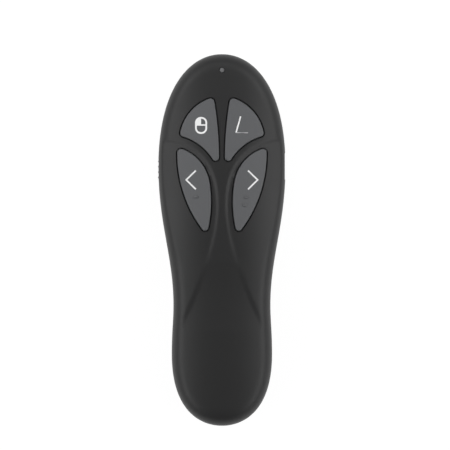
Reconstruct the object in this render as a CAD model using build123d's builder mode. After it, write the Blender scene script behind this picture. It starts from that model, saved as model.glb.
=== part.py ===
from build123d import *
import os
from math import asin, degrees, sqrt

# Wireless presentation clicker, lying on its back.  Millimetres.
# +X is to the right seen from above, +Y points to the nose, +Z is up to the keys.
# The origin lies under the middle of the case, on the surface that it rests on.

# ---------------------------------------------------------------- case, seen from above
body_length = 130.0
head_width = 44.5
head_setback = 39.1  # nose tip to the widest place
neck_width = 33.9
neck_reach = 42.0  # tail end to the narrowest place
palm_width = 35.1
palm_reach = 25.0  # tail end to the bulge of the grip
nose_pull = 11.5  # how flat the outline leaves each of its turning places
shoulder_pull = 26.9
hip_pull = 20.7
neck_front_pull = 17.6
neck_rear_pull = 4.9
palm_front_pull = 7.8
palm_rear_pull = 20.0
tail_pull = 7.4

# ---------------------------------------------------------------- case, seen from the side
nose_top = 17.6
back_top = 24.0
tail_top = 19.5
nose_floor = 3.6
belly_floor = -0.5  # the underside is then cut flat at zero
tail_floor = 1.0
back_station = -8.0  # where the back is highest
belly_station = -16.0  # where the belly is lowest
crown_radius = 40.0  # across the top
belly_radius = 45.0  # across the underside
edge_round = 6.5
part_height = 11.0  # plane where the two covers meet
wall = 1.8
lip_width = 0.8
lip_height = 1.2
lip_gap = 0.15
run_out = 14.0  # the crowns run on past both ends of the case
joint_overlap = 1.0  # drawn-in forms run on past the joint of the covers

# ---------------------------------------------------------------- relief on the top
crease_edge = 35.0  # where the crease meets the edge of the head
crease_waist = 12.0  # where the two creases are closest
crease_half = 1.95
crease_edge_pull = 20.0
crease_waist_pull = 9.0
crease_tail_pull = 18.0
crease_tail_x = 15.6
crease_tail_y = -32.5
crease_tail_lean_x = 1.2
crease_tail_lean_y = 2.7
dish_depth = 0.65  # drop of the side fields beside the keys
valley_depth = 0.3  # drop of the middle field behind the keys
valley_front = -8.0  # the side fields end and the middle field begins
valley_middle = -20.0
valley_rear = -31.5
field_rise = 0.9  # how far the side fields' line stands above the tail

# ---------------------------------------------------------------- keys
key_gap = 0.35
key_proud = 0.4
key_travel = 0.5
key_skin = 1.6
key_wall = 1.1
key_round = 0.3
flange_width = 0.85
flange_thick = 0.7
flange_gap = 0.25
upper_top = (2.93, 23.84)  # corners of the right upper key, measured from the widest place
upper_side = (14.70, 10.46)
upper_foot = (1.13, -2.47)
upper_outer_radius = 15.74
upper_lower_radius = 18.52
upper_inner_radius = 120.0
leaf_top = (15.52, 6.33)  # corners of the right lower key
leaf_join = (4.43, -5.41)
leaf_foot = (5.35, -24.07)
leaf_outer_radius = 44.1
leaf_top_radius = 14.85
leaf_foot_radius = 42.6
key_corner = 0.8
upper_switch = (7.6, 13.6)  # switch centres, measured from the widest place
leaf_switch = (10.2, -6.4)
stem_radius = 2.0

# ---------------------------------------------------------------- circuit board
board_floor = 12.9
board_thick = 1.2
board_inset = 0.9  # board edge inside the wall
board_nose_half = 4.6
board_shoulder = 48.0
board_front = 60.8
board_gap = 0.4
switch_size = 6.0
switch_height = 3.1
switch_round = 0.45
plunger_radius = 1.7
plunger_proud = 0.7
plunger_gap = 0.1
plunger_length = 2.2
chip_size = 6.0
chip_height = 1.0
chip_y = 8.0
crystal_length = 3.2
crystal_width = 2.5
crystal_height = 0.8
crystal_y = 18.0
aerial_length = 7.0
aerial_width = 2.0
aerial_height = 1.0
aerial_y = 51.5

# ---------------------------------------------------------------- side controls
side_key_length = 6.3
side_key_height = 3.4
side_key_y = 24.65
side_key_proud = 0.1
side_key_travel = 0.5
side_rib_count = 4
side_rib_width = 0.7
side_rib_depth = 0.35
side_gap = 0.25
side_flange = 0.6
side_flange_thick = 0.8
side_flange_gap = 0.75
side_switch_depth = 3.5
side_plunger_radius = 0.85
side_plunger_reach = 1.2  # length inside its switch
slide_y = 25.75
slide_recess_length = 9.3
slide_recess_height = 7.0
slide_recess_depth = 0.25
slide_knob_length = 5.2
slide_knob_height = 2.8
slide_travel = 2.0
slide_groove_count = 3
slide_groove_depth = 0.3
slide_groove_width = 1.1
actuator_half = 0.75
actuator_depth = 1.0

# ---------------------------------------------------------------- laser and light
laser_radius = 3.0
laser_length = 12.0
laser_height = 9.6
laser_back = 49.5
laser_bore = 2.3
cradle_thick = 1.5
window_radius = 2.5
window_thick = 1.0
window_depth = 0.4
window_hole = 1.8
diode_length = 3.5
lens_setback = 0.4
light_y = 59.3
light_radius = 0.75
light_gap = 0.3  # from the light to its pipe
led_length = 1.6
led_width = 0.8
led_height = 0.6

# ---------------------------------------------------------------- cells and their bay
cell_radius = 5.25
cell_length = 44.5
nub_radius = 1.9
nub_length = 1.2
cell_gap = 0.15
cell_bevel = 0.3
cell_height = 8.6
cell_tail = 8.75  # tail end of the case to the cells
bay_wall = 1.2
bay_room = 0.45
bay_end_room = 2.35
contact_thick = 0.3
contact_size = 7.0
dimple_taper = 10.0
spring_wire = 0.3
spring_turns = 3
spring_radius = 3.2
spring_cone = 20.0
tab_width = 2.0
tab_reach = 4.2

# ---------------------------------------------------------------- battery door
door_half = 11.7
door_gap = 0.2
door_front = 14.0
door_tail_height = 8.0
door_tail_band = 8.0  # length at the tail end where the door takes the full width
tab_length = 5.0
tab_thick = 1.0
tab_grip = 1.2
tab_pitch = 25.0
tab_count = 3
tab_first = -42.0
tab_height = 4.8
tongue_half = 5.0
tongue_reach = 1.4
tongue_thick = 1.0
tongue_height = 2.5
grip_count = 7
grip_pitch = 2.0
grip_width = 0.9
grip_depth = 0.3
grip_half = 6.0
grip_front = 9.0

# ---------------------------------------------------------------- receiver
receiver_width = 14.5
receiver_thick = 6.4
receiver_head = 7.0
receiver_floor = 2.7
receiver_back = -7.6
plug_width = 12.0
plug_thick = 4.5
plug_length = 12.0
plug_wall = 0.3
pocket_room = 0.3
pocket_wall = 1.2

# ---------------------------------------------------------------- screws
screw_radius = 0.9
screw_gap = 0.05
screw_length = 8.0
screw_head_radius = 2.0
screw_head_height = 1.6
screw_seat = 7.4
pillar_radius = 2.6
boss_radius = 2.3
front_screw = (9.5, 53.5)
rear_screw = (16.6, 12.0)
board_boss_radius = 2.0
board_screw_radius = 0.7
board_screw_length = 2.6
board_screw_head = 1.5
board_screw_cap = 1.0
board_screw_end = 0.5  # hole left past the end of the screw
screw_end = 1.0
board_screw_side = (15.8, 43.5)
board_screw_rear = (0.0, -4.5)

# ---------------------------------------------------------------- places worked out
nose_y = body_length / 2
tail_y = -body_length / 2
head_half = head_width / 2
head_y = nose_y - head_setback
neck_half = neck_width / 2
neck_y = tail_y + neck_reach
palm_half = palm_width / 2
palm_y = tail_y + palm_reach
board_top = board_floor + board_thick
form_height = 2 * back_top
screw_places = [(side * x, y) for x, y in (front_screw, rear_screw) for side in (-1, 1)]
board_screw_places = [
    board_screw_side,
    (-board_screw_side[0], board_screw_side[1]),
    board_screw_rear,
]
cell_x = cell_radius + cell_gap
cell_back = tail_y + cell_tail
bay_half = cell_x + cell_radius + bay_room
bay_back = cell_back - bay_end_room
bay_front = cell_back + cell_length + bay_end_room
bay_ceiling = cell_height + cell_radius + bay_room
pocket_half = receiver_width / 2 + pocket_room
pocket_front = door_front + tongue_reach + 2 * door_gap
pocket_ceiling = receiver_floor + receiver_thick + pocket_room


# ---------------------------------------------------------------- forms
def plan(inset: float = 0.0) -> Sketch:
    """Outline of the case from above, drawn in by inset.

    A drawn-in curve keeps its end directions, and its pulls shrink with its chord.
    """
    nose, head = Vector(0, nose_y - inset), Vector(head_half - inset, head_y)
    neck, palm = Vector(neck_half - inset, neck_y), Vector(palm_half - inset, palm_y)
    tail = Vector(0, tail_y + inset)
    right, back, left = Vector(1, 0), Vector(0, -1), Vector(-1, 0)
    curves = (
        (nose, right * nose_pull, head, back * shoulder_pull, (head_half, head_setback)),
        (head, back * hip_pull, neck, back * neck_front_pull, (head_half - neck_half, head_y - neck_y)),
        (neck, back * neck_rear_pull, palm, back * palm_front_pull, (palm_half - neck_half, neck_y - palm_y)),
        (palm, back * palm_rear_pull, tail, left * tail_pull, (palm_half, palm_reach)),
    )
    with BuildSketch(Plane.XY, mode=Mode.PRIVATE) as outline:
        with BuildLine():
            for start, start_pull, end, end_pull, span in curves:
                shrink = (end - start).length / Vector(*span).length
                Bezier(start, start + start_pull * shrink, end - end_pull * shrink, end)
            mirror(about=Plane.YZ)
        make_face()
    return outline.sketch


def side_arc(line: list) -> tuple:
    """Centre, radius and sense of the arc through three stations of a side line.

    The sense is 1 when the arc bulges upwards and -1 when it sags.
    """
    (y1, z1), (y2, z2), (y3, z3) = line
    turn = 2 * (y1 * (z2 - z3) + y2 * (z3 - z1) + y3 * (z1 - z2))
    s1, s2, s3 = y1**2 + z1**2, y2**2 + z2**2, y3**2 + z3**2
    centre_y = (s1 * (z2 - z3) + s2 * (z3 - z1) + s3 * (z1 - z2)) / turn
    centre_z = (s1 * (y3 - y2) + s2 * (y1 - y3) + s3 * (y2 - y1)) / turn
    radius = sqrt((y1 - centre_y) ** 2 + (z1 - centre_z) ** 2)
    return centre_y, centre_z, radius, 1 if z2 > centre_z else -1


def crowned(line: list, radius: float, depth: float, side: int) -> Part:
    """Block with one crowned face: an arc across the case, turned about the side line's centre.

    side is 1 for a block under a crowned top and -1 for a block over a crowned belly.
    depth moves the face into the block as a true offset.
    """
    centre_y, centre_z, line_radius, sense = side_arc(line)
    half = head_half + wall
    arc_radius = radius - depth
    drop = arc_radius - sqrt(arc_radius**2 - half**2)
    crest = sense * line_radius - side * depth
    reach = degrees(asin((body_length / 2 + run_out + abs(centre_y)) / line_radius))
    start = Plane(origin=(0, centre_y, centre_z), x_dir=(1, 0, 0), z_dir=(0, -1, 0)).rotated((-reach, 0, 0))
    with BuildPart(mode=Mode.PRIVATE) as block:
        with BuildSketch(start):
            with BuildLine():
                face_arc = ThreePointArc(
                    (-half, crest - side * drop),
                    (0, crest),
                    (half, crest - side * drop),
                )
                Polyline(
                    face_arc @ 1,
                    (half, crest - side * form_height),
                    (-half, crest - side * form_height),
                    face_arc @ 0,
                )
            make_face()
        revolve(axis=Axis((0, centre_y, centre_z), (1, 0, 0)), revolution_arc=2 * reach)
    return block.part


top_line = [(nose_y, nose_top), (back_station, back_top), (tail_y, tail_top)]
floor_line = [(nose_y, nose_floor), (belly_station, belly_floor), (tail_y, tail_floor)]


def upper_form(inset: float) -> Part:
    """Top half of the case as a solid, its faces drawn in by inset."""
    crown = crowned(top_line, crown_radius, inset, 1)
    with BuildPart(mode=Mode.PRIVATE) as form:
        with BuildSketch(Plane.XY.offset(part_height - (joint_overlap if inset else 0))):
            add(plan(inset))
        extrude(amount=form_height)
        add(crown, mode=Mode.INTERSECT)
        fillet(form.faces().sort_by(Axis.Z)[-1].edges(), edge_round - inset)
    return form.part


def lower_form(inset: float) -> Part:
    """Bottom half of the case as a solid, its faces drawn in by inset."""
    belly = crowned(floor_line, belly_radius, inset, -1)
    with BuildPart(mode=Mode.PRIVATE) as form:
        with BuildSketch(Plane.XY.offset(part_height + (joint_overlap if inset else 0))):
            add(plan(inset))
        extrude(amount=-form_height)
        add(belly, mode=Mode.INTERSECT)
        fillet(form.faces().sort_by(Axis.Z)[0].edges(), edge_round - inset)
    return form.part


def height_at(line: list, y: float) -> float:
    """Height of a side line at the station y."""
    centre_y, centre_z, line_radius, sense = side_arc(line)
    return centre_z + sense * sqrt(line_radius**2 - (y - centre_y) ** 2)


def field_line(stations: tuple, shifts: tuple) -> list:
    """Side line that leaves the top line by the given shifts at the given stations."""
    return [(y, height_at(top_line, y) + shift) for y, shift in zip(stations, shifts)]


def field_cutter(region: Sketch, line: list) -> Part:
    """What the relief takes away inside a region, above a lowered crown."""
    crown = crowned(line, crown_radius, 0, 1)
    with BuildPart(mode=Mode.PRIVATE) as cutter:
        with BuildSketch(Plane.XY.offset(part_height + lip_height)):
            add(region)
        extrude(amount=form_height)
        add(crown, mode=Mode.SUBTRACT)
    return cutter.part


def crease_field(front: bool) -> Sketch:
    """Fields that the crease parts: both side fields in front, or the middle one behind."""
    waist = (crease_half, crease_waist)
    foot = (crease_tail_x, crease_tail_y)
    rim = head_half + wall
    with BuildSketch(Plane.XY, mode=Mode.PRIVATE) as region:
        with BuildLine():
            lower = Bezier(
                waist,
                (crease_half, crease_waist - crease_tail_pull),
                (crease_tail_x - crease_tail_lean_x, crease_tail_y + crease_tail_lean_y),
                foot,
            )
            if front:
                upper = Bezier(
                    (rim, crease_edge),
                    (rim - crease_edge_pull, crease_edge),
                    (crease_half, crease_waist + crease_waist_pull),
                    waist,
                )
                Polyline(lower @ 1, (rim, crease_tail_y), upper @ 0)
            else:
                Polyline(lower @ 1, (0, crease_tail_y), (0, crease_waist), waist)
        make_face()
        mirror(about=Plane.YZ)
    return region.sketch


def upper_key_face() -> Sketch:
    """Right upper key from above: three arcs."""
    corners = [(x, head_y + y) for x, y in (upper_top, upper_side, upper_foot)]
    radii = (upper_outer_radius, -upper_lower_radius, upper_inner_radius)
    return key_face(corners, radii, corners)


def leaf_key_face() -> Sketch:
    """Right lower key from above: one long arc outside, two tangent arcs inside."""
    corners = [(x, head_y + y) for x, y in (leaf_top, leaf_foot, leaf_join)]
    radii = (leaf_outer_radius, leaf_foot_radius, leaf_top_radius)
    return key_face(corners, radii, corners[:2])


def key_face(corners: list, radii: tuple, rounded: list) -> Sketch:
    """Face bounded by arcs from corner to corner, with the named corners rounded."""
    with BuildSketch(Plane.XY, mode=Mode.PRIVATE) as face:
        with BuildLine():
            for start, end, radius in zip(corners, corners[1:] + corners[:1], radii):
                RadiusArc(start, end, radius)
        make_face()
        for corner in rounded:
            fillet(face.vertices().sort_by_distance(corner)[0], key_corner)
    return face.sketch


def key_cap(face: Sketch, line: list, switch: tuple) -> Part:
    """Right-hand key: crowned cap, retaining flange, hollow inside, stem over its switch."""
    outside = crowned(line, crown_radius, -key_proud, 1)
    skin = crowned(line, crown_radius, key_skin, 1)
    flange_top = crowned(top_line, crown_radius, wall + flange_gap, 1)
    flange_under = crowned(top_line, crown_radius, wall + flange_gap + flange_thick, 1)
    with BuildPart(mode=Mode.PRIVATE) as cap:
        with BuildSketch(Plane.XY.offset(board_top)):
            add(face)
        extrude(amount=form_height)
        add(outside, mode=Mode.INTERSECT)
        fillet(cap.faces().sort_by(Axis.Z)[-1].edges(), key_round)
        with BuildPart(mode=Mode.PRIVATE) as rim:
            with BuildSketch(Plane.XY.offset(board_top)):
                add(face)
                offset(amount=flange_width)
            extrude(amount=form_height)
            add(flange_top, mode=Mode.INTERSECT)
        add(rim.part)
        add(flange_under, mode=Mode.SUBTRACT)
        with BuildPart(mode=Mode.PRIVATE) as hollow:
            with BuildSketch(Plane.XY.offset(board_top)):
                add(face)
                offset(amount=-key_wall)
            extrude(amount=form_height)
            add(skin, mode=Mode.INTERSECT)
        add(hollow.part, mode=Mode.SUBTRACT)
        with BuildPart(mode=Mode.PRIVATE) as stem:
            with BuildSketch(Plane.XY.offset(board_top + switch_height + plunger_proud)):
                with Locations((switch[0], head_y + switch[1])):
                    Circle(stem_radius)
            extrude(amount=form_height)
            add(skin, mode=Mode.INTERSECT)
        add(stem.part)
    return cap.part


dish_line = field_line((crease_edge, valley_front, tail_y), (-dish_depth, 0, field_rise))
valley_line = field_line((valley_front, valley_middle, valley_rear), (0, -valley_depth, 0))


def block(x: tuple, y: tuple, z: tuple) -> Part:
    """Plain box between two values on each axis."""
    with BuildPart(Plane.XY.offset(z[0]), mode=Mode.PRIVATE) as box:
        with Locations(((x[0] + x[1]) / 2, (y[0] + y[1]) / 2)):
            Box(x[1] - x[0], y[1] - y[0], z[1] - z[0], align=(Align.CENTER, Align.CENTER, Align.MIN))
    return box.part


def posts(places: list, radius: float, low: float, high: float) -> Part:
    """Upright round posts, or the holes for them."""
    with BuildPart(mode=Mode.PRIVATE) as group:
        with BuildSketch(Plane.XY.offset(low)):
            with Locations(*places):
                Circle(radius)
        extrude(amount=high - low)
    return group.part


def nose_rod(radius: float, back: float, front: float) -> Part:
    """Round rod, or bore, along the laser's axis."""
    with BuildPart(mode=Mode.PRIVATE) as rod:
        with BuildSketch(Plane(origin=(0, back, laser_height), x_dir=(1, 0, 0), z_dir=(0, 1, 0))):
            Circle(radius)
        extrude(amount=front - back)
    return rod.part


upper_face = upper_key_face()
leaf_face = leaf_key_face()
upper_outer = upper_form(0)
lower_outer = lower_form(0)
upper_inner = upper_form(wall)
lower_inner = lower_form(wall)
upper_core = upper_form(wall / 2)  # middle of the shell: what grows from a wall is cut to this
upper_room = upper_form(wall + lip_gap)  # what stands up from the bottom cover is cut to this
lower_core = lower_form(wall / 2)

# openings that both covers share along their joint
control_height = board_floor - side_switch_depth / 2
side_key_opening = block(
    (-head_half - wall, -head_half + 2 * wall),
    (side_key_y - side_key_length / 2 - side_gap, side_key_y + side_key_length / 2 + side_gap),
    (
        control_height - side_key_height / 2 - side_gap,
        control_height + side_key_height / 2 + side_gap,
    ),
)
slide_slot = slide_knob_length + slide_travel + 2 * side_gap
slide_opening = block(
    (head_half - 2 * wall, head_half + wall),
    (slide_y - slide_slot / 2, slide_y + slide_slot / 2),
    (
        control_height - slide_knob_height / 2 - side_gap,
        control_height + slide_knob_height / 2 + side_gap,
    ),
)
slide_recess = block(
    (head_half - slide_recess_depth, head_half + wall),
    (slide_y - slide_recess_length / 2, slide_y + slide_recess_length / 2),
    (control_height - slide_recess_height / 2, control_height + slide_recess_height / 2),
)
window_seat = nose_rod(window_radius + side_gap, nose_y - window_depth - window_thick, nose_y + wall)
window_bore = nose_rod(window_hole, laser_back + laser_length, nose_y + wall)
side_flange_outer = head_half - wall - side_flange_gap
side_flange_inner = side_flange_outer - side_flange_thick
side_flanges = [
    (-1, side_key_y, side_key_length + 2 * side_flange, side_key_height + 2 * side_flange),
    (1, slide_y, slide_slot + 2 * slide_travel, slide_knob_height + 2 * side_flange),
]
shared_openings = [side_key_opening, slide_opening, slide_recess, window_seat, window_bore]

# ---------------------------------------------------------------- top cover
with BuildPart() as key_openings:
    with BuildSketch(Plane.XY.offset(part_height)):
        for face in (upper_face, leaf_face):
            add(face)
        offset(amount=key_gap)
        mirror(about=Plane.YZ)
    extrude(amount=form_height)

with BuildPart() as top_openings:
    add(key_openings.part)
    add(posts([(0, light_y)], light_radius + screw_gap, board_top, back_top))
    add(posts(screw_places, screw_radius + screw_gap, part_height, screw_seat + screw_length + screw_end))
    add(
        posts(
            board_screw_places,
            board_screw_radius + screw_gap,
            board_top,
            board_floor + board_screw_length + board_screw_end,
        )
    )
    for opening in shared_openings:
        add(opening)

with BuildPart() as top_cover:
    add(upper_outer)
    for front, line in ((True, dish_line), (False, valley_line)):
        add(field_cutter(crease_field(front), line), mode=Mode.SUBTRACT)
    add(upper_inner, mode=Mode.SUBTRACT)
    with BuildPart(mode=Mode.PRIVATE) as bosses:
        add(posts(screw_places, boss_radius, part_height, back_top))
        add(posts(board_screw_places, board_boss_radius, board_top, back_top))
        add(upper_core, mode=Mode.INTERSECT)
    add(bosses.part)
    add(top_openings.part, mode=Mode.SUBTRACT)
top_cover.part.label = "top_cover"

# ---------------------------------------------------------------- battery door
door_field = block((-door_half, door_half), (tail_y - wall, door_front), (-wall, door_tail_height))
door_tail_field = block(
    (-head_half, head_half),
    (tail_y - wall, tail_y + door_tail_band),
    (-wall, door_tail_height),
)
tab_y = [tab_first + index * tab_pitch for index in range(tab_count)]

with BuildPart() as lower_shell:
    add(lower_outer)
    add(block((-head_width, head_width), (-body_length, body_length), (-back_top, 0)), mode=Mode.SUBTRACT)
    add(lower_inner, mode=Mode.SUBTRACT)

with BuildPart() as battery_door:
    add(door_field)
    add(door_tail_field)
    add(lower_shell.part, mode=Mode.INTERSECT)
    for y in tab_y:
        for side in (-1, 1):
            near = side * (door_half - bay_wall)
            add(
                block(
                    (min(near, side * door_half), max(near, side * door_half)),
                    (y - tab_length / 2, y + tab_length / 2),
                    (wall, tab_height + tab_thick),
                )
            )
            far = side * (door_half + tab_grip)
            add(
                block(
                    (min(near, far), max(near, far)),
                    (y - tab_length / 2, y + tab_length / 2),
                    (tab_height, tab_height + tab_thick),
                )
            )
    add(
        block(
            (-tongue_half, tongue_half),
            (door_front - tongue_thick, door_front),
            (wall / 2, tongue_height + tongue_thick),
        )
    )
    add(
        block(
            (-tongue_half, tongue_half),
            (door_front - tongue_thick, door_front + tongue_reach),
            (tongue_height, tongue_height + tongue_thick),
        )
    )
    with BuildPart(mode=Mode.PRIVATE) as grooves:
        with BuildSketch(Plane.XY):
            with Locations((0, grip_front - grip_pitch * grip_count / 2)):
                with GridLocations(0, grip_pitch, 1, grip_count):
                    SlotOverall(2 * grip_half, grip_width)
        extrude(amount=wall)
        add(crowned(floor_line, belly_radius, grip_depth - belly_floor, -1), mode=Mode.SUBTRACT)
    add(grooves.part, mode=Mode.SUBTRACT)
battery_door.part.label = "battery_door"

# ---------------------------------------------------------------- bottom cover
door_room = door_half + door_gap
bay_foot = tab_height + tab_thick + 2 * door_gap

with BuildPart() as door_opening:
    add(
        block(
            (-door_room, door_room),
            (tail_y - wall, door_front + door_gap),
            (-wall, door_tail_height + door_gap),
        )
    )
    add(
        block(
            (-head_half, head_half),
            (tail_y - wall, tail_y + door_tail_band + door_gap),
            (-wall, door_tail_height + door_gap),
        )
    )

# bay for the cells and pocket for the receiver, both open downwards
with BuildPart() as bay_rooms:
    add(block((-bay_half, bay_half), (bay_back, bay_front), (0, bay_ceiling)))
    add(
        block(
            (-pocket_half, pocket_half),
            (bay_front + bay_wall, pocket_front),
            (0, pocket_ceiling),
        )
    )
    for x in (-cell_x, cell_x):
        tab_room = tab_width / 2 + side_gap
        add(
            block(
                (x - tab_room, x + tab_room),
                (bay_front - contact_thick - side_gap, bay_front + 2 * bay_wall),
                (board_top - side_gap, board_top + contact_thick + side_gap),
            )
        )

with BuildPart() as bay:
    add(
        block(
            (-bay_half - bay_wall, bay_half + bay_wall),
            (bay_back - bay_wall, bay_front + bay_wall),
            (door_tail_height + door_gap, bay_ceiling + bay_wall),
        )
    )
    add(
        block(
            (-bay_half - bay_wall, bay_half + bay_wall),
            (tail_y + door_tail_band + door_gap + wall, bay_front + bay_wall),
            (bay_foot, bay_ceiling),
        )
    )
    add(
        block(
            (-pocket_half - pocket_wall, pocket_half + pocket_wall),
            (bay_front, pocket_front + pocket_wall),
            (bay_foot, pocket_ceiling + pocket_wall),
        )
    )
    add(
        block(
            (-pocket_half, pocket_half),
            (bay_front, bay_front + bay_wall),
            (tongue_height + door_gap, bay_ceiling),
        )
    )
    add(
        block(
            (-pocket_half, pocket_half),
            (pocket_front, pocket_front + pocket_wall),
            (wall / 2, pocket_ceiling),
        )
    )
    add(bay_rooms.part, mode=Mode.SUBTRACT)

# pillars for the case screws, cradle for the laser, ledges that carry the door's tabs
with BuildPart() as supports:
    add(posts(screw_places, pillar_radius, 0, part_height - door_gap))
    cradle_half = laser_radius + wall
    for y in (laser_back + cradle_thick, laser_back + laser_length - 2 * cradle_thick):
        add(block((-cradle_half, cradle_half), (y, y + cradle_thick), (0, laser_height)))
    add(nose_rod(laser_radius + screw_gap, laser_back, nose_y), mode=Mode.SUBTRACT)
    for y in tab_y:
        for side in (-1, 1):
            near = side * door_room
            far = side * (door_room + tab_grip + wall)
            add(
                block(
                    (min(near, far), max(near, far)),
                    (y - tab_length / 2, y + tab_length / 2),
                    (0, tab_height - door_gap),
                )
            )
    add(bay.part)
    with BuildPart(mode=Mode.PRIVATE) as room:
        add(lower_core)
        add(upper_room)
    add(room.part, mode=Mode.INTERSECT)

# lip that stands inside the top cover, with gaps for the flanges of the side controls
with BuildPart() as lip:
    with BuildSketch(Plane.XY.offset(part_height)):
        add(plan(wall + lip_gap))
        add(plan(wall + lip_gap + lip_width), mode=Mode.SUBTRACT)
    extrude(amount=lip_height)
    add(upper_room, mode=Mode.INTERSECT)
    with BuildSketch(Plane.XY.offset(part_height - lip_height)):
        add(plan(wall / 2))
        add(plan(wall + lip_gap + lip_width), mode=Mode.SUBTRACT)
    extrude(amount=lip_height)
    for side, y, length, height in side_flanges:
        near, far = side_flange_inner - board_gap, head_half - wall
        add(
            block(
                (min(side * near, side * far), max(side * near, side * far)),
                (y - length / 2 - board_gap, y + length / 2 + board_gap),
                (control_height - height / 2 - board_gap, control_height + height / 2 + board_gap),
            ),
            mode=Mode.SUBTRACT,
        )

with BuildPart() as bottom_openings:
    for x, y in screw_places:
        add(posts([(x, y)], boss_radius + side_gap, part_height - door_gap, back_top))
    add(posts(screw_places, screw_radius + 2 * side_gap, screw_seat - wall, part_height))
    add(posts(screw_places, screw_head_radius + side_gap, -wall, screw_seat))
    for opening in shared_openings:
        add(opening)

with BuildPart() as bottom_cover:
    add(lower_shell.part)
    add(door_opening.part, mode=Mode.SUBTRACT)
    add([supports.part, lip.part])
    add(bottom_openings.part, mode=Mode.SUBTRACT)
bottom_cover.part.label = "bottom_cover"

# ---------------------------------------------------------------- keys
upper_key = key_cap(upper_face, top_line, upper_switch)
leaf_key = key_cap(leaf_face, dish_line, leaf_switch)

with BuildPart() as key_page_forward:
    add(leaf_key)
key_page_forward.part.label = "key_page_forward"

with BuildPart() as key_page_back:
    add(leaf_key)
    mirror(about=Plane.YZ, mode=Mode.REPLACE)
key_page_back.part.label = "key_page_back"

with BuildPart() as key_pointer:
    add(upper_key)
key_pointer.part.label = "key_pointer"

with BuildPart() as key_mouse:
    add(upper_key)
    mirror(about=Plane.YZ, mode=Mode.REPLACE)
key_mouse.part.label = "key_mouse"

# ---------------------------------------------------------------- circuit board
board_notch_half = slide_slot / 2 + slide_travel + board_gap
board_rear = bay_front + bay_wall + board_gap

with BuildPart() as main_board:
    with BuildSketch(Plane.XY.offset(board_floor)):
        add(plan(wall + board_inset))
        add(
            Rectangle(
                head_width,
                board_shoulder - board_rear,
                align=(Align.CENTER, Align.MIN),
                mode=Mode.PRIVATE,
            ).moved(Location((0, board_rear))),
            mode=Mode.INTERSECT,
        )
        with Locations((0, board_rear)):
            Rectangle(2 * board_nose_half, board_front - board_rear, align=(Align.CENTER, Align.MIN))
        notch_face = side_flange_inner - side_key_travel - board_gap
        for side, y in ((-1, side_key_y), (1, slide_y)):
            with Locations((side * (notch_face + head_half / 2), y)):
                Rectangle(head_half, 2 * board_notch_half, mode=Mode.SUBTRACT)
        with Locations(*screw_places):
            Circle(boss_radius + board_gap, mode=Mode.SUBTRACT)
        with Locations(*board_screw_places):
            Circle(board_screw_radius + 2 * screw_gap, mode=Mode.SUBTRACT)
    extrude(amount=board_thick)
main_board.part.label = "main_board"

# ---------------------------------------------------------------- switches under the keys
def switch_housing(x: float, y: float) -> Part:
    """Square housing of a key switch, with the well of its plunger."""
    with BuildPart(Plane.XY.offset(board_top), mode=Mode.PRIVATE) as housing:
        with Locations((x, y)):
            Box(switch_size, switch_size, switch_height, align=(Align.CENTER, Align.CENTER, Align.MIN))
        fillet(housing.edges().filter_by(Axis.Z), switch_round)
        with BuildSketch(Plane.XY.offset(board_top + switch_height)):
            with Locations((x, y)):
                Circle(plunger_radius + plunger_gap)
        extrude(amount=-(plunger_length - plunger_proud + key_travel + plunger_gap), mode=Mode.SUBTRACT)
    return housing.part


def switch_plunger(x: float, y: float) -> Part:
    """Plunger that a key pushes into its switch."""
    return posts(
        [(x, y)],
        plunger_radius,
        board_top + switch_height + plunger_proud - plunger_length,
        board_top + switch_height + plunger_proud,
    )


key_switches = {
    "page_forward": (leaf_switch[0], head_y + leaf_switch[1]),
    "page_back": (-leaf_switch[0], head_y + leaf_switch[1]),
    "pointer": (upper_switch[0], head_y + upper_switch[1]),
    "mouse": (-upper_switch[0], head_y + upper_switch[1]),
}
switch_parts = []
for name, (x, y) in key_switches.items():
    with BuildPart() as key_switch:
        add(switch_housing(x, y))
    key_switch.part.label = f"switch_{name}"
    with BuildPart() as key_plunger:
        add(switch_plunger(x, y))
    key_plunger.part.label = f"plunger_{name}"
    switch_parts += [key_switch.part, key_plunger.part]

# ---------------------------------------------------------------- laser key on the left side
side_key_face = -head_half - side_key_proud + side_rib_depth
with BuildPart() as side_key:
    add(
        block(
            (side_key_face, -side_flange_inner),
            (side_key_y - side_key_length / 2, side_key_y + side_key_length / 2),
            (control_height - side_key_height / 2, control_height + side_key_height / 2),
        )
    )
    rib_pitch = (side_key_length - side_rib_width) / (side_rib_count - 1)
    with BuildSketch(Plane.XY.offset(control_height - side_key_height / 2)):
        with Locations((side_key_face, side_key_y)):
            with GridLocations(0, rib_pitch, 1, side_rib_count):
                Ellipse(side_rib_depth, side_rib_width / 2)
    extrude(amount=side_key_height)
    add(
        block(
            (-side_flange_outer, -side_flange_inner),
            (
                side_key_y - side_key_length / 2 - side_flange,
                side_key_y + side_key_length / 2 + side_flange,
            ),
            (
                control_height - side_key_height / 2 - side_flange,
                control_height + side_key_height / 2 + side_flange,
            ),
        )
    )
side_key.part.label = "side_key"

side_switch_face = side_flange_inner - side_key_travel - side_gap
with BuildPart() as side_switch:
    add(
        block(
            (-side_switch_face, -side_switch_face + side_switch_depth),
            (side_key_y - switch_size / 2, side_key_y + switch_size / 2),
            (board_floor - side_switch_depth, board_floor),
        )
    )
    with BuildSketch(Plane(origin=(-side_switch_face, side_key_y, control_height), z_dir=(1, 0, 0))):
        Circle(side_plunger_radius + plunger_gap)
    extrude(amount=side_plunger_reach + side_key_travel + plunger_gap, mode=Mode.SUBTRACT)
side_switch.part.label = "side_switch"

with BuildPart() as side_plunger:
    with BuildSketch(Plane(origin=(-side_flange_inner, side_key_y, control_height), z_dir=(1, 0, 0))):
        Circle(side_plunger_radius)
    extrude(amount=side_flange_inner - side_switch_face + side_plunger_reach)
side_plunger.part.label = "side_plunger"

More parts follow.
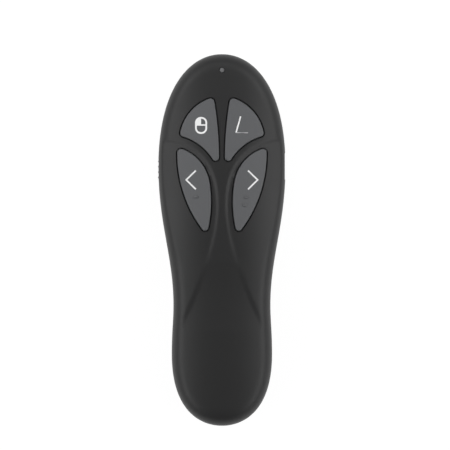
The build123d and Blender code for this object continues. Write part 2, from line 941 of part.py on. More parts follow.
# ---------------------------------------------------------------- power slide on the right side
slide_face = head_half - slide_recess_depth - side_gap
slide_y_rest = slide_y + slide_travel / 2
with BuildPart() as power_slide:
    add(
        block(
            (side_flange_inner, slide_face),
            (slide_y_rest - slide_knob_length / 2, slide_y_rest + slide_knob_length / 2),
            (control_height - slide_knob_height / 2, control_height + slide_knob_height / 2),
        )
    )
    groove_pitch = slide_knob_length / slide_groove_count
    with BuildSketch(Plane.XY.offset(control_height - slide_knob_height / 2)):
        with Locations((slide_face, slide_y_rest)):
            with GridLocations(0, groove_pitch, 1, slide_groove_count):
                Ellipse(slide_groove_depth, slide_groove_width / 2)
    extrude(amount=slide_knob_height, mode=Mode.SUBTRACT)
    add(
        block(
            (side_flange_inner, side_flange_outer),
            (
                slide_y_rest - slide_slot / 2 - slide_travel / 2,
                slide_y_rest + slide_slot / 2 + slide_travel / 2,
            ),
            (
                control_height - slide_knob_height / 2 - side_flange,
                control_height + slide_knob_height / 2 + side_flange,
            ),
        )
    )
power_slide.part.label = "power_slide"

slide_switch_face = side_flange_inner - side_gap
with BuildPart() as slide_switch:
    add(
        block(
            (slide_switch_face - side_switch_depth, slide_switch_face),
            (slide_y - slide_slot / 2 - side_gap, slide_y + slide_slot / 2 + side_gap),
            (board_floor - side_switch_depth, board_floor),
        )
    )
    add(
        block(
            (slide_switch_face - actuator_depth - plunger_gap, slide_switch_face),
            (
                slide_y - slide_travel / 2 - actuator_half - plunger_gap,
                slide_y + slide_travel / 2 + actuator_half + plunger_gap,
            ),
            (
                control_height - actuator_half - plunger_gap,
                control_height + actuator_half + plunger_gap,
            ),
        ),
        mode=Mode.SUBTRACT,
    )
slide_switch.part.label = "slide_switch"

with BuildPart() as slide_actuator:
    add(
        block(
            (slide_switch_face - actuator_depth, side_flange_inner),
            (slide_y_rest - actuator_half, slide_y_rest + actuator_half),
            (control_height - actuator_half, control_height + actuator_half),
        )
    )
slide_actuator.part.label = "slide_actuator"

# ---------------------------------------------------------------- chips and light
with BuildPart() as radio_chip:
    add(
        block(
            (-chip_size / 2, chip_size / 2),
            (chip_y, chip_y + chip_size),
            (board_top, board_top + chip_height),
        )
    )
radio_chip.part.label = "radio_chip"

with BuildPart() as crystal:
    add(
        block(
            (-crystal_width / 2, crystal_width / 2),
            (crystal_y, crystal_y + crystal_length),
            (board_top, board_top + crystal_height),
        )
    )
crystal.part.label = "crystal"

with BuildPart() as aerial:
    add(
        block(
            (-aerial_length / 2, aerial_length / 2),
            (aerial_y, aerial_y + aerial_width),
            (board_top, board_top + aerial_height),
        )
    )
aerial.part.label = "aerial"

with BuildPart() as signal_led:
    add(
        block(
            (-led_length / 2, led_length / 2),
            (light_y - led_width / 2, light_y + led_width / 2),
            (board_top, board_top + led_height),
        )
    )
signal_led.part.label = "signal_led"

with BuildPart() as light_pipe:
    add(posts([(0, light_y)], light_radius, board_top + led_height + light_gap, back_top))
    add(crowned(top_line, crown_radius, 0, 1), mode=Mode.INTERSECT)
light_pipe.part.label = "light_pipe"

# ---------------------------------------------------------------- laser
laser_front = laser_back + laser_length
with BuildPart() as laser_barrel:
    add(nose_rod(laser_radius, laser_back, laser_front))
    add(nose_rod(laser_bore, laser_back, laser_front), mode=Mode.SUBTRACT)
laser_barrel.part.label = "laser_barrel"

with BuildPart() as laser_diode:
    add(nose_rod(laser_bore - screw_gap, laser_back, laser_back + diode_length))
laser_diode.part.label = "laser_diode"

with BuildPart() as laser_lens:
    lens_front = laser_front - lens_setback
    add(nose_rod(laser_bore - screw_gap, lens_front - window_thick, lens_front))
laser_lens.part.label = "laser_lens"

with BuildPart() as laser_window:
    add(nose_rod(window_radius, nose_y - window_depth - window_thick, nose_y - window_depth))
laser_window.part.label = "laser_window"

# ---------------------------------------------------------------- cells and contacts
def cell(side: int, nub: int) -> Part:
    """Cell on one side of the bay; nub is 1 when its button looks to the nose."""
    start = cell_back if nub == 1 else cell_back + cell_length
    with BuildPart(mode=Mode.PRIVATE) as body:
        with BuildSketch(Plane(origin=(side * cell_x, start, cell_height), z_dir=(0, nub, 0))):
            Circle(cell_radius)
        extrude(amount=cell_length - nub_length)
        chamfer(body.edges(), cell_bevel)
        shoulder = start + nub * (cell_length - nub_length)
        with BuildSketch(Plane(origin=(side * cell_x, shoulder, cell_height), z_dir=(0, nub, 0))):
            Circle(nub_radius)
        extrude(amount=nub_length)
    return body.part


with BuildPart() as cell_left:
    add(cell(-1, 1))
cell_left.part.label = "cell_left"

with BuildPart() as cell_right:
    add(cell(1, -1))
cell_right.part.label = "cell_right"


def contact_plate(x: tuple, wall_face: float, inward: int) -> Part:
    """Stamped plate on a wall of the bay."""
    faces = sorted((wall_face, wall_face + inward * contact_thick))
    low, high = cell_height - contact_size / 2, cell_height + contact_size / 2
    with BuildPart(mode=Mode.PRIVATE) as plate:
        add(block(x, tuple(faces), (low, high)))
    return plate.part


def dimple(x: float, wall_face: float, inward: int) -> Part:
    """Raised button of a plate that meets the button end of a cell."""
    reach = bay_end_room - cell_gap
    with BuildPart(mode=Mode.PRIVATE) as button:
        with BuildSketch(Plane(origin=(x, wall_face, cell_height), z_dir=(0, inward, 0))):
            Circle(nub_radius)
        extrude(amount=reach, taper=dimple_taper)
    return button.part


def solder_tab(x: float) -> Part:
    """Tab that bends from a front plate over the wall of the bay onto the board."""
    plate_top = cell_height + contact_size / 2
    with BuildPart(mode=Mode.PRIVATE) as tab:
        add(
            block(
                (x - tab_width / 2, x + tab_width / 2),
                (bay_front - contact_thick, bay_front),
                (plate_top - contact_thick, board_top + contact_thick),
            )
        )
        add(
            block(
                (x - tab_width / 2, x + tab_width / 2),
                (bay_front - contact_thick, bay_front + tab_reach),
                (board_top, board_top + contact_thick),
            )
        )
    return tab.part


def cone_spring(x: float, wall_face: float, inward: int) -> Part:
    """Conical spring that meets the flat end of a cell."""
    length = bay_end_room - cell_gap - contact_thick
    start = wall_face + inward * (contact_thick + spring_wire / 2)
    seat = Plane(origin=(x, start, cell_height), z_dir=(0, inward, 0))
    rise = length - spring_wire
    with BuildPart(mode=Mode.PRIVATE) as spring:
        with BuildLine():
            coil = Helix(rise / spring_turns, rise, spring_radius, cone_angle=-spring_cone)
        with BuildSketch(Plane(origin=coil @ 0, z_dir=coil % 0)):
            RegularPolygon(spring_wire / 2, 4)
        sweep(path=coil, is_frenet=True)
    return spring.part.moved(seat.location)


with BuildPart() as plate_positive:
    add(contact_plate((-cell_x - contact_size / 2, -cell_x + contact_size / 2), bay_front, -1))
    add(dimple(-cell_x, bay_front, -1))
    add(solder_tab(-cell_x))
plate_positive.part.label = "plate_positive"

with BuildPart() as plate_negative:
    add(contact_plate((cell_x - contact_size / 2, cell_x + contact_size / 2), bay_front, -1))
    add(solder_tab(cell_x))
plate_negative.part.label = "plate_negative"

with BuildPart() as plate_bridge:
    add(contact_plate((-cell_x - contact_size / 2, cell_x + contact_size / 2), bay_back, 1))
    add(dimple(cell_x, bay_back, 1))
plate_bridge.part.label = "plate_bridge"

with BuildPart() as spring_front:
    add(cone_spring(cell_x, bay_front, -1))
spring_front.part.label = "spring_front"

with BuildPart() as spring_tail:
    add(cone_spring(-cell_x, bay_back, 1))
spring_tail.part.label = "spring_tail"

# ---------------------------------------------------------------- receiver
plug_back = receiver_back + receiver_head
receiver_middle = receiver_floor + receiver_thick / 2
with BuildPart() as receiver_head_shell:
    add(
        block(
            (-receiver_width / 2, receiver_width / 2),
            (receiver_back, plug_back),
            (receiver_floor, receiver_floor + receiver_thick),
        )
    )
    fillet(receiver_head_shell.faces().sort_by(Axis.Y)[0].edges(), key_corner)
receiver_head_shell.part.label = "receiver_head"

with BuildPart() as receiver_plug:
    add(
        block(
            (-plug_width / 2, plug_width / 2),
            (plug_back, plug_back + plug_length),
            (receiver_middle - plug_thick / 2, receiver_middle + plug_thick / 2),
        )
    )
    add(
        block(
            (-plug_width / 2 + plug_wall, plug_width / 2 - plug_wall),
            (plug_back, plug_back + plug_length),
            (receiver_middle - plug_thick / 2 + plug_wall, receiver_middle + plug_thick / 2 - plug_wall),
        ),
        mode=Mode.SUBTRACT,
    )
receiver_plug.part.label = "receiver_plug"

with BuildPart() as receiver_tongue:
    add(
        block(
            (-plug_width / 2 + plug_wall + screw_gap, plug_width / 2 - plug_wall - screw_gap),
            (plug_back, plug_back + plug_length - plug_wall),
            (receiver_middle, receiver_middle + plug_thick / 2 - plug_wall - screw_gap),
        )
    )
receiver_tongue.part.label = "receiver_tongue"

# ---------------------------------------------------------------- screws
with BuildPart() as case_screws:
    add(posts(screw_places, screw_head_radius, screw_seat - screw_head_height, screw_seat))
    add(posts(screw_places, screw_radius, screw_seat, screw_seat + screw_length))
case_screws.part.label = "case_screws"

with BuildPart() as board_screws:
    add(posts(board_screw_places, board_screw_head, board_floor - board_screw_cap, board_floor))
    add(posts(board_screw_places, board_screw_radius, board_floor, board_floor + board_screw_length))
board_screws.part.label = "board_screws"

pieces = [
    top_cover.part,
    bottom_cover.part,
    battery_door.part,
    key_page_forward.part,
    key_page_back.part,
    key_pointer.part,
    key_mouse.part,
    main_board.part,
    *switch_parts,
    side_key.part,
    side_switch.part,
    side_plunger.part,
    power_slide.part,
    slide_switch.part,
    slide_actuator.part,
    radio_chip.part,
    crystal.part,
    aerial.part,
    signal_led.part,
    light_pipe.part,
    laser_barrel.part,
    laser_diode.part,
    laser_lens.part,
    laser_window.part,
    cell_left.part,
    cell_right.part,
    plate_positive.part,
    plate_negative.part,
    plate_bridge.part,
    spring_front.part,
    spring_tail.part,
    receiver_head_shell.part,
    receiver_plug.part,
    receiver_tongue.part,
    case_screws.part,
    board_screws.part,
]
os.makedirs("parts", exist_ok=True)
for piece in pieces:
    export_step(piece, f"parts/{piece.label}.step")
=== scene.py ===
"""Dresses a wireless presentation clicker: its moulded skin, key marks, finishes and studio."""
import logging
import math
from dataclasses import dataclass, field
from enum import Enum

import bmesh
import bpy
import numpy as np
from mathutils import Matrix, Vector
from mathutils.bvhtree import BVHTree
from mathutils.geometry import delaunay_2d_cdt


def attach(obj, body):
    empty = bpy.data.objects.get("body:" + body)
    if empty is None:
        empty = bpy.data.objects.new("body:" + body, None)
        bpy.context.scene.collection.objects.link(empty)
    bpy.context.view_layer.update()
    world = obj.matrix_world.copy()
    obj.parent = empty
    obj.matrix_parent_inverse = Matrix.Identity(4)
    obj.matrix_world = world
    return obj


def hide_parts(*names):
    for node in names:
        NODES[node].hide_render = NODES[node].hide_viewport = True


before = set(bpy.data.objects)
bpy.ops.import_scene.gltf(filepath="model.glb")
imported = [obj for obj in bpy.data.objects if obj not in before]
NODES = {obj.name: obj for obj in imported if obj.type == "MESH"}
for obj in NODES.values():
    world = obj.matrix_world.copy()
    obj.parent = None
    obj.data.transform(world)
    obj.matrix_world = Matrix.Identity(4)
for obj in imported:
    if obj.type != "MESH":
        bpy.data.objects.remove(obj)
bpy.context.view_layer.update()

MM = 0.001
SEARCH_BATCH = 2000      # points that nearest() compares at a time
BORDER_CLEARANCE = 0.55  # least distance from a border to a free point, as a share of the spacing
MEETING_POINT = 1e-5     # millimetres within which the triangulation joins points
LEAST_MITRE = 0.35       # keeps the sharp corners of a stroke from running out too far
log = logging.getLogger("clicker")


# ---------------------------------------------------------------- mesh helpers
def new_object(name: str, points: np.ndarray, faces: list, body: str = "root") -> bpy.types.Object:
    """Makes a mesh object from points in millimetres and lets it ride on a body.

    Args:
        name: Name of the piece.
        points: Array of x, y, z in millimetres.
        faces: Vertex indices of each face.
        body: Body of the frame that carries the piece.

    Returns:
        The linked object.
    """
    mesh = bpy.data.meshes.new(name)
    mesh.from_pydata((np.asarray(points, float) * MM).tolist(), [], [tuple(map(int, f)) for f in faces])
    mesh.validate()
    mesh.update()
    piece = bpy.data.objects.new(name, mesh)
    bpy.context.scene.collection.objects.link(piece)
    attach(piece, body)
    return piece


def shade(piece: bpy.types.Object, angle: float = 32.0) -> None:
    """Shades a piece smooth, with sharp edges where faces meet at more than the angle in degrees."""
    piece.data.shade_smooth()
    piece.data.set_sharp_from_angle(angle=math.radians(angle))


def apply_modifiers(piece: bpy.types.Object) -> None:
    """Turns a piece's modifiers into its mesh."""
    graph = bpy.context.evaluated_depsgraph_get()
    mesh = bpy.data.meshes.new_from_object(piece.evaluated_get(graph))
    piece.modifiers.clear()
    piece.data = mesh


def face_outwards(mesh: bpy.types.Mesh, joined_within: float | None = None) -> None:
    """Turns the faces of a closed mesh outwards.

    Args:
        mesh: The mesh.
        joined_within: Distance in metres within which points are joined first, if any are.
    """
    work = bmesh.new()
    work.from_mesh(mesh)
    if joined_within is not None:
        bmesh.ops.remove_doubles(work, verts=work.verts, dist=joined_within)
    bmesh.ops.recalc_face_normals(work, faces=work.faces)
    work.to_mesh(mesh)
    work.free()


def inside(points: np.ndarray, loop: np.ndarray) -> np.ndarray:
    """Tells which points lie inside a closed loop.

    Args:
        points: Array of x, y.
        loop: Corners of the loop in order.

    Returns:
        One truth value for each point.
    """
    result = np.zeros(len(points), bool)
    x, y = points[:, 0], points[:, 1]
    for (x0, y0), (x1, y1) in zip(loop, np.roll(loop, -1, axis=0)):
        if y0 != y1:
            crosses = ((y0 > y) != (y1 > y)) & (x < (x1 - x0) * (y - y0) / (y1 - y0) + x0)
            result ^= crosses
    return result


def nearest(points: np.ndarray, samples: np.ndarray) -> tuple[np.ndarray, np.ndarray]:
    """Finds the nearest sample to each point.

    Args:
        points: Array of x, y.
        samples: Array of x, y to search.

    Returns:
        Indices of the samples and the distances to them.
    """
    index = np.empty(len(points), int)
    distance = np.empty(len(points))
    for start in range(0, len(points), SEARCH_BATCH):
        batch = slice(start, start + SEARCH_BATCH)
        square = ((points[batch, None, :] - samples[None, :, :]) ** 2).sum(axis=2)
        index[batch] = square.argmin(axis=1)
        distance[batch] = np.sqrt(square.min(axis=1))
    return index, distance


def triangulate(loops: list, spacing: float, extra: list | None = None) -> tuple[np.ndarray, list]:
    """Fills the region between loops with triangles.

    Args:
        loops: Closed loops; a point is in the region if it is inside an odd number of them.
        spacing: Distance between the points added inside the region, in millimetres.
        extra: Further closed lines that the triangles have to follow.

    Returns:
        Points as x, y and the triangles.
    """
    lines = list(loops) + list(extra or [])
    points, edges = [], []
    for line in lines:
        first = len(points)
        points += [tuple(p) for p in line]
        edges += [(first + i, first + (i + 1) % len(line)) for i in range(len(line))]
    border = np.array(points)
    low, high = border.min(axis=0), border.max(axis=0)
    xs = np.arange(low[0] + spacing / 2, high[0], spacing)
    ys = np.arange(low[1] + spacing / 2, high[1], spacing * math.sqrt(3) / 2)
    grid_x, grid_y = np.meshgrid(xs, ys)
    grid_x[1::2] += spacing / 2
    grid = np.column_stack([grid_x.ravel(), grid_y.ravel()])
    count = sum(inside(grid, np.asarray(loop)).astype(int) for loop in loops)
    grid = grid[count % 2 == 1]
    if len(grid):
        grid = grid[nearest(grid, border)[1] > spacing * BORDER_CLEARANCE]
    everything = [Vector(p) for p in points] + [Vector(p) for p in grid.tolist()]
    made = delaunay_2d_cdt(everything, edges, [], 0, MEETING_POINT)
    flat = np.array([tuple(v) for v in made[0]])
    faces = np.array(made[2])
    middle = flat[faces].mean(axis=1)
    count = sum(inside(middle, np.asarray(loop)).astype(int) for loop in loops)
    return flat, faces[count % 2 == 1].tolist()


def unit_circle(count: int) -> np.ndarray:
    """Evenly spaced points on a circle of radius 1."""
    turns = np.linspace(0, 2 * math.pi, count, endpoint=False)
    return np.column_stack([np.cos(turns), np.sin(turns)])


def turned_arc(centre: np.ndarray, start: np.ndarray, end: np.ndarray, step: float) -> np.ndarray:
    """Points along the shorter arc round a centre.

    Args:
        centre: Centre of the arc.
        start: First point.
        end: Last point, which is left out.
        step: Longest distance between points.

    Returns:
        Array of x, y without the last point.
    """
    first, last = start - centre, end - centre
    angle = math.atan2(first[0] * last[1] - first[1] * last[0], first @ last)
    count = max(1, math.ceil(abs(angle) * np.linalg.norm(first) / step))
    turns = angle * np.arange(count) / count
    cos, sin = np.cos(turns), np.sin(turns)
    return centre + np.column_stack([first[0] * cos - first[1] * sin, first[0] * sin + first[1] * cos])


# ---------------------------------------------------------------- form of the case
@dataclass(frozen=True)
class SideLine:
    """Arc through three stations of the case seen from the side, in millimetres."""

    stations: tuple

    def circle(self) -> tuple[float, float, float]:
        """Returns the arc's centre y, centre z and radius, with a sign for the way it bulges."""
        (y1, z1), (y2, z2), (y3, z3) = self.stations
        turn = 2 * (y1 * (z2 - z3) + y2 * (z3 - z1) + y3 * (z1 - z2))
        s1, s2, s3 = y1**2 + z1**2, y2**2 + z2**2, y3**2 + z3**2
        centre_y = (s1 * (z2 - z3) + s2 * (z3 - z1) + s3 * (z1 - z2)) / turn
        centre_z = (s1 * (y3 - y2) + s2 * (y1 - y3) + s3 * (y2 - y1)) / turn
        radius = math.hypot(y1 - centre_y, z1 - centre_z)
        return centre_y, centre_z, radius if z2 > centre_z else -radius

    def crown(self, x: np.ndarray, y: np.ndarray, radius: float, depth: float = 0.0) -> np.ndarray:
        """Height of the crowned face that the arc carries.

        Args:
            x: Places across the case.
            y: Places along the case.
            radius: Radius of the crown across the case.
            depth: How far the face is moved into the case.

        Returns:
            Heights at the places.
        """
        centre_y, centre_z, line_radius = self.circle()
        arc = radius - depth
        reach = line_radius - depth - (arc - np.sqrt(arc**2 - np.asarray(x) ** 2))
        return centre_z + np.sign(reach) * np.sqrt(reach**2 - (np.asarray(y) - centre_y) ** 2)


@dataclass(frozen=True)
class CaseForm:
    """Outer form of the case, in millimetres. The pulls are the reaches of the outline's curve handles."""

    length: float = 130.0
    head_half: float = 22.25
    head_y: float = 25.9
    neck_half: float = 16.95
    neck_y: float = -23.0
    palm_half: float = 17.55
    palm_y: float = -40.0
    nose_pull: float = 11.5
    shoulder_pull: float = 26.9
    hip_pull: float = 20.7
    neck_front_pull: float = 17.6
    neck_rear_pull: float = 4.9
    palm_front_pull: float = 7.8
    palm_rear_pull: float = 20.0
    tail_pull: float = 7.4
    nose_top: float = 17.6
    back_top: float = 24.0
    back_y: float = -8.0
    tail_top: float = 19.5
    crown_radius: float = 40.0
    edge_round: float = 6.5
    part_height: float = 11.0
    curve_steps: int = 400

    @property
    def top_line(self) -> SideLine:
        """Line of the back from nose to tail."""
        half = self.length / 2
        return SideLine(((half, self.nose_top), (self.back_y, self.back_top), (-half, self.tail_top)))

    def height_at(self, y: float) -> float:
        """Height of the back's line at y."""
        return float(self.top_line.crown(np.zeros(1), np.array([y]), self.crown_radius)[0])

    def outline(self, count: int = 90) -> np.ndarray:
        """Closed outline from above, clockwise from the nose.

        Args:
            count: A quarter of the even steps on each side.

        Returns:
            Array of x, y.
        """
        half = self.length / 2
        curves = (
            ((0, half), (self.nose_pull, half), (self.head_half, self.head_y + self.shoulder_pull),
             (self.head_half, self.head_y)),
            ((self.head_half, self.head_y), (self.head_half, self.head_y - self.hip_pull),
             (self.neck_half, self.neck_y + self.neck_front_pull), (self.neck_half, self.neck_y)),
            ((self.neck_half, self.neck_y), (self.neck_half, self.neck_y - self.neck_rear_pull),
             (self.palm_half, self.palm_y + self.palm_front_pull), (self.palm_half, self.palm_y)),
            ((self.palm_half, self.palm_y), (self.palm_half, self.palm_y - self.palm_rear_pull),
             (self.tail_pull, -half), (0, -half)),
        )
        dense = np.vstack([bezier(curve, self.curve_steps) for curve in curves] + [np.array([[0.0, -half]])])
        run = np.concatenate([[0], np.cumsum(np.linalg.norm(np.diff(dense, axis=0), axis=1))])
        places = np.linspace(0, run[-1], 4 * count + 1)
        right = np.column_stack([np.interp(places, run, dense[:, axis]) for axis in (0, 1)])
        left = right[-2:0:-1] * (-1, 1)
        return np.vstack([right, left])


def bezier(points: tuple, count: int) -> np.ndarray:
    """Points on a cubic curve, without its last point."""
    p0, p1, p2, p3 = (np.array(p, float) for p in points)
    t = np.arange(count)[:, None] / count
    return (1 - t) ** 3 * p0 + 3 * (1 - t) ** 2 * t * p1 + 3 * (1 - t) * t**2 * p2 + t**3 * p3


def loop_normals(loop: np.ndarray) -> np.ndarray:
    """Inward normals of a clockwise loop."""
    along = np.roll(loop, -1, axis=0) - np.roll(loop, 1, axis=0)
    along /= np.linalg.norm(along, axis=1)[:, None]
    return np.column_stack([along[:, 1], -along[:, 0]])


def smooth(share: np.ndarray) -> np.ndarray:
    """Eases values between 0 and 1 in and out."""
    share = np.clip(share, 0, 1)
    return share * share * (3 - 2 * share)


@dataclass(frozen=True)
class Relief:
    """X-shaped crease between the raised spine and the side fields, in millimetres."""

    form: CaseForm
    edge_y: float = 35.0
    waist_y: float = 12.0
    waist_half: float = 1.6
    edge_pull: float = 20.0
    waist_pull: float = 9.0
    tail_pull: float = 18.0
    tail: tuple = (15.6, -32.5)
    tail_lean: tuple = (1.2, 2.7)
    dish_depth: float = 0.65
    valley_depth: float = 0.42
    crease_depth: float = 0.24
    crease_fade: float = 2.2
    crease_run: tuple = (30.0, 19.0, -1.0, -12.0)
    valley: tuple = (-8.0, -20.0, -31.5)
    field_rise: float = 0.9
    flank: float = 1.7
    rim_reach: float = 1.8
    curve_steps: int = 200

    def line(self) -> np.ndarray:
        """Right-hand crease from the edge of the head to its end on the grip."""
        rim = self.form.head_half + self.rim_reach
        waist = (self.waist_half, self.waist_y)
        upper = ((rim, self.edge_y), (rim - self.edge_pull, self.edge_y),
                 (self.waist_half, self.waist_y + self.waist_pull), waist)
        lower = (waist, (self.waist_half, self.waist_y - self.tail_pull),
                 (self.tail[0] - self.tail_lean[0], self.tail[1] + self.tail_lean[1]), self.tail)
        return np.vstack([bezier(upper, self.curve_steps), bezier(lower, self.curve_steps), [self.tail]])

    def lower(self, x: np.ndarray, y: np.ndarray, height: np.ndarray) -> np.ndarray:
        """Takes the fields of the relief out of a surface.

        Args:
            x: Places across the case.
            y: Places along the case.
            height: Height of the surface there.

        Returns:
            Heights with the relief.
        """
        form = self.form
        rear = -form.length / 2
        dish = self.shifted((self.edge_y, self.valley[0], rear), (-self.dish_depth, 0.0, self.field_rise))
        middle = self.shifted(self.valley, (0.0, -self.valley_depth, 0.0))
        line = self.line()
        flat = np.column_stack([np.abs(x), y])
        border = np.vstack([line, [(form.head_half + self.rim_reach, self.tail[1])]])
        side = inside(flat, border)
        distance = nearest(flat, line)[1]
        away = np.where(side, distance, -distance)
        share = smooth(away / self.flank + 0.5)
        share = np.where(y < self.tail[1], 0.0, share)
        start, full, fading, end = self.crease_run
        weight = smooth((start - y) / (start - full)) * smooth((y - end) / (fading - end))
        groove = share * np.exp(-np.clip(away - self.flank / 2, 0, None) / self.crease_fade)
        side_drop = np.clip(height - dish.crown(x, y, form.crown_radius), 0, None)
        middle_drop = np.clip(height - middle.crown(x, y, form.crown_radius), 0, None)
        behind = (y < self.valley[0]) & (y > self.tail[1])
        sunk = share * side_drop + self.crease_depth * weight * groove
        return height - sunk - np.where(behind, (1 - share) * middle_drop, 0.0)

    def shifted(self, stations: tuple, shifts: tuple) -> SideLine:
        """Side line that leaves the back's line by the shifts at the stations."""
        return SideLine(tuple((y, self.form.height_at(y) + s) for y, s in zip(stations, shifts)))


@dataclass(frozen=True)
class KeyFace:
    """Outline of a right-hand key: arcs from corner to corner, in millimetres."""

    corners: tuple
    radii: tuple
    roundings: tuple

    def centres(self) -> list:
        """Centre of each side's arc."""
        result = []
        for start, end, radius in zip(self.corners, self.corners[1:] + self.corners[:1], self.radii):
            start, end = np.array(start, float), np.array(end, float)
            chord = end - start
            half = np.linalg.norm(chord) / 2
            left = np.array([-chord[1], chord[0]]) / (2 * half)
            rise = math.sqrt(radius**2 - half**2)
            result.append((start + end) / 2 - left * rise * math.copysign(1, radius))
        return result

    def corner_arcs(self) -> list:
        """Rounding centre, first and last point of each corner, with no centre where it is sharp."""
        centres = self.centres()
        sides = len(self.corners)
        ends = []
        for index, rounding in enumerate(self.roundings):
            corner = np.array(self.corners[index], float)
            if not rounding:
                ends.append((None, corner, corner))
                continue
            pair = ((index - 1) % sides, index)
            rings = [(centres[k], abs(self.radii[k]) - math.copysign(rounding, self.radii[k])) for k in pair]
            middle = circles_meet(*rings, corner)
            touch = []
            for k in pair:
                way = middle - centres[k]
                touch.append(centres[k] + way * abs(self.radii[k]) / np.linalg.norm(way))
            ends.append((middle, touch[0], touch[1]))
        return ends

    def loop(self, grow: float = 0.0, step: float = 0.35) -> np.ndarray:
        """Closed outline, grown outwards.

        Args:
            grow: Distance to grow by.
            step: Longest distance between points.

        Returns:
            Array of x, y.
        """
        centres, ends = self.centres(), self.corner_arcs()
        sides = len(self.corners)
        points = []
        for index in range(sides):
            middle, arrive, leave = ends[index]
            if middle is not None:
                reach = (self.roundings[index] + grow) / self.roundings[index]
                outer = [middle + (p - middle) * reach for p in (arrive, leave)]
                points.append(turned_arc(middle, outer[0], outer[1], step))
            centre, radius = centres[index], abs(self.radii[index])
            wanted = radius + math.copysign(grow, self.radii[index])
            stop = ends[(index + 1) % sides][1]
            points.append(turned_arc(centre, centre + (leave - centre) * wanted / radius,
                                     centre + (stop - centre) * wanted / radius, step))
        return np.vstack(points)


def circles_meet(first: tuple, second: tuple, near: np.ndarray) -> np.ndarray:
    """The meeting point of two circles, each given by centre and radius, that is nearer to a place."""
    (a, ra), (b, rb) = first, second
    gap = np.linalg.norm(b - a)
    along = (gap**2 + ra**2 - rb**2) / (2 * gap)
    rise = math.sqrt(max(0.0, ra**2 - along**2))
    way = (b - a) / gap
    foot = a + way * along
    choices = [foot + s * rise * np.array([-way[1], way[0]]) for s in (-1, 1)]
    return min(choices, key=lambda p: np.linalg.norm(p - near))


FORM = CaseForm()
UPPER_KEY = KeyFace(((2.93, 49.74), (14.70, 36.36), (1.13, 23.43)), (15.74, -18.52, 120.0), (1.4, 1.35, 1.2))
LEAF_KEY = KeyFace(((15.52, 32.23), (5.35, 1.83), (4.43, 20.49)), (44.1, 42.6, 14.85), (1.4, 1.15, 0.0))


# ---------------------------------------------------------------- shader groups
class Effect(Enum):
    """Effects that several finishes share."""

    GRAIN = "MoldedGrain"
    DRIFT = "TonalDrift"
    SCUFF = "FineScuffs"


class Socket(Enum):
    """Kinds of group socket."""

    NUMBER = "NodeSocketFloat"
    COLOUR = "NodeSocketColor"
    PLACE = "NodeSocketVector"


class Nodes:
    """Small writer for one node tree."""

    def __init__(self, tree: bpy.types.NodeTree) -> None:
        """Keeps the tree that nodes are added to."""
        self.tree = tree

    def add(self, kind: str, **values: object) -> bpy.types.Node:
        """Adds a node.

        Args:
            kind: Type of the node, as bpy names it.
            values: Attributes of the node.

        Returns:
            The node.
        """
        node = self.tree.nodes.new(kind)
        for name, value in values.items():
            setattr(node, name, value)
        return node

    def link(self, source: bpy.types.NodeSocket, target: bpy.types.NodeSocket) -> None:
        """Links two sockets."""
        self.tree.links.new(source, target)

    def math(self, operation: str, first: object, second: object) -> bpy.types.NodeSocket:
        """Adds a Math node.

        Args:
            operation: What it does.
            first: A socket or a number.
            second: A socket or a number.

        Returns:
            Its output.
        """
        node = self.add("ShaderNodeMath", operation=operation)
        for socket, value in zip(node.inputs, (first, second)):
            if isinstance(value, bpy.types.NodeSocket):
                self.link(value, socket)
            else:
                socket.default_value = value
        return node.outputs[0]

    def ramp(self, source: bpy.types.NodeSocket, low: float, high: float) -> bpy.types.NodeSocket:
        """Spreads the values between low and high over 0 to 1."""
        node = self.add("ShaderNodeMapRange", clamp=True)
        node.inputs["From Min"].default_value = low
        node.inputs["From Max"].default_value = high
        self.link(source, node.inputs["Value"])
        return node.outputs["Result"]


def new_group(effect: Effect, inputs: tuple, outputs: tuple) -> tuple:
    """Makes an empty shader group with its sockets.

    Args:
        effect: Which effect the group is for.
        inputs: Name, kind and default of each input.
        outputs: Name and kind of each output.

    Returns:
        The writer, the group's input node and its output node.
    """
    tree = bpy.data.node_groups.new(effect.value, "ShaderNodeTree")
    for name, kind, default in inputs:
        socket = tree.interface.new_socket(name=name, in_out="INPUT", socket_type=kind.value)
        if default is not None:
            socket.default_value = default
    for name, kind in outputs:
        tree.interface.new_socket(name=name, in_out="OUTPUT", socket_type=kind.value)
    nodes = Nodes(tree)
    return nodes, nodes.add("NodeGroupInput"), nodes.add("NodeGroupOutput")


def build_grain() -> None:
    """Group for a moulded surface: fine grain as height, and a roughness that varies with it."""
    nodes, given, result = new_group(
        Effect.GRAIN,
        (("Place", Socket.PLACE, None), ("Scale", Socket.NUMBER, 2500.0),
         ("Roughness", Socket.NUMBER, 0.5), ("Spread", Socket.NUMBER, 0.08)),
        (("Height", Socket.NUMBER), ("Roughness", Socket.NUMBER)),
    )
    fine = nodes.add("ShaderNodeTexNoise")
    fine.inputs["Detail"].default_value = 3.0
    fine.inputs["Roughness"].default_value = 0.6
    nodes.link(given.outputs["Place"], fine.inputs["Vector"])
    nodes.link(given.outputs["Scale"], fine.inputs["Scale"])
    broad = nodes.add("ShaderNodeTexNoise")
    broad.inputs["Scale"].default_value = 55.0
    broad.inputs["Detail"].default_value = 2.0
    nodes.link(given.outputs["Place"], broad.inputs["Vector"])
    nodes.link(fine.outputs[0], result.inputs["Height"])
    centred = nodes.math("SUBTRACT", broad.outputs[0], 0.5)
    swing = nodes.math("MULTIPLY", centred, given.outputs["Spread"])
    nodes.link(nodes.math("ADD", given.outputs["Roughness"], swing), result.inputs["Roughness"])


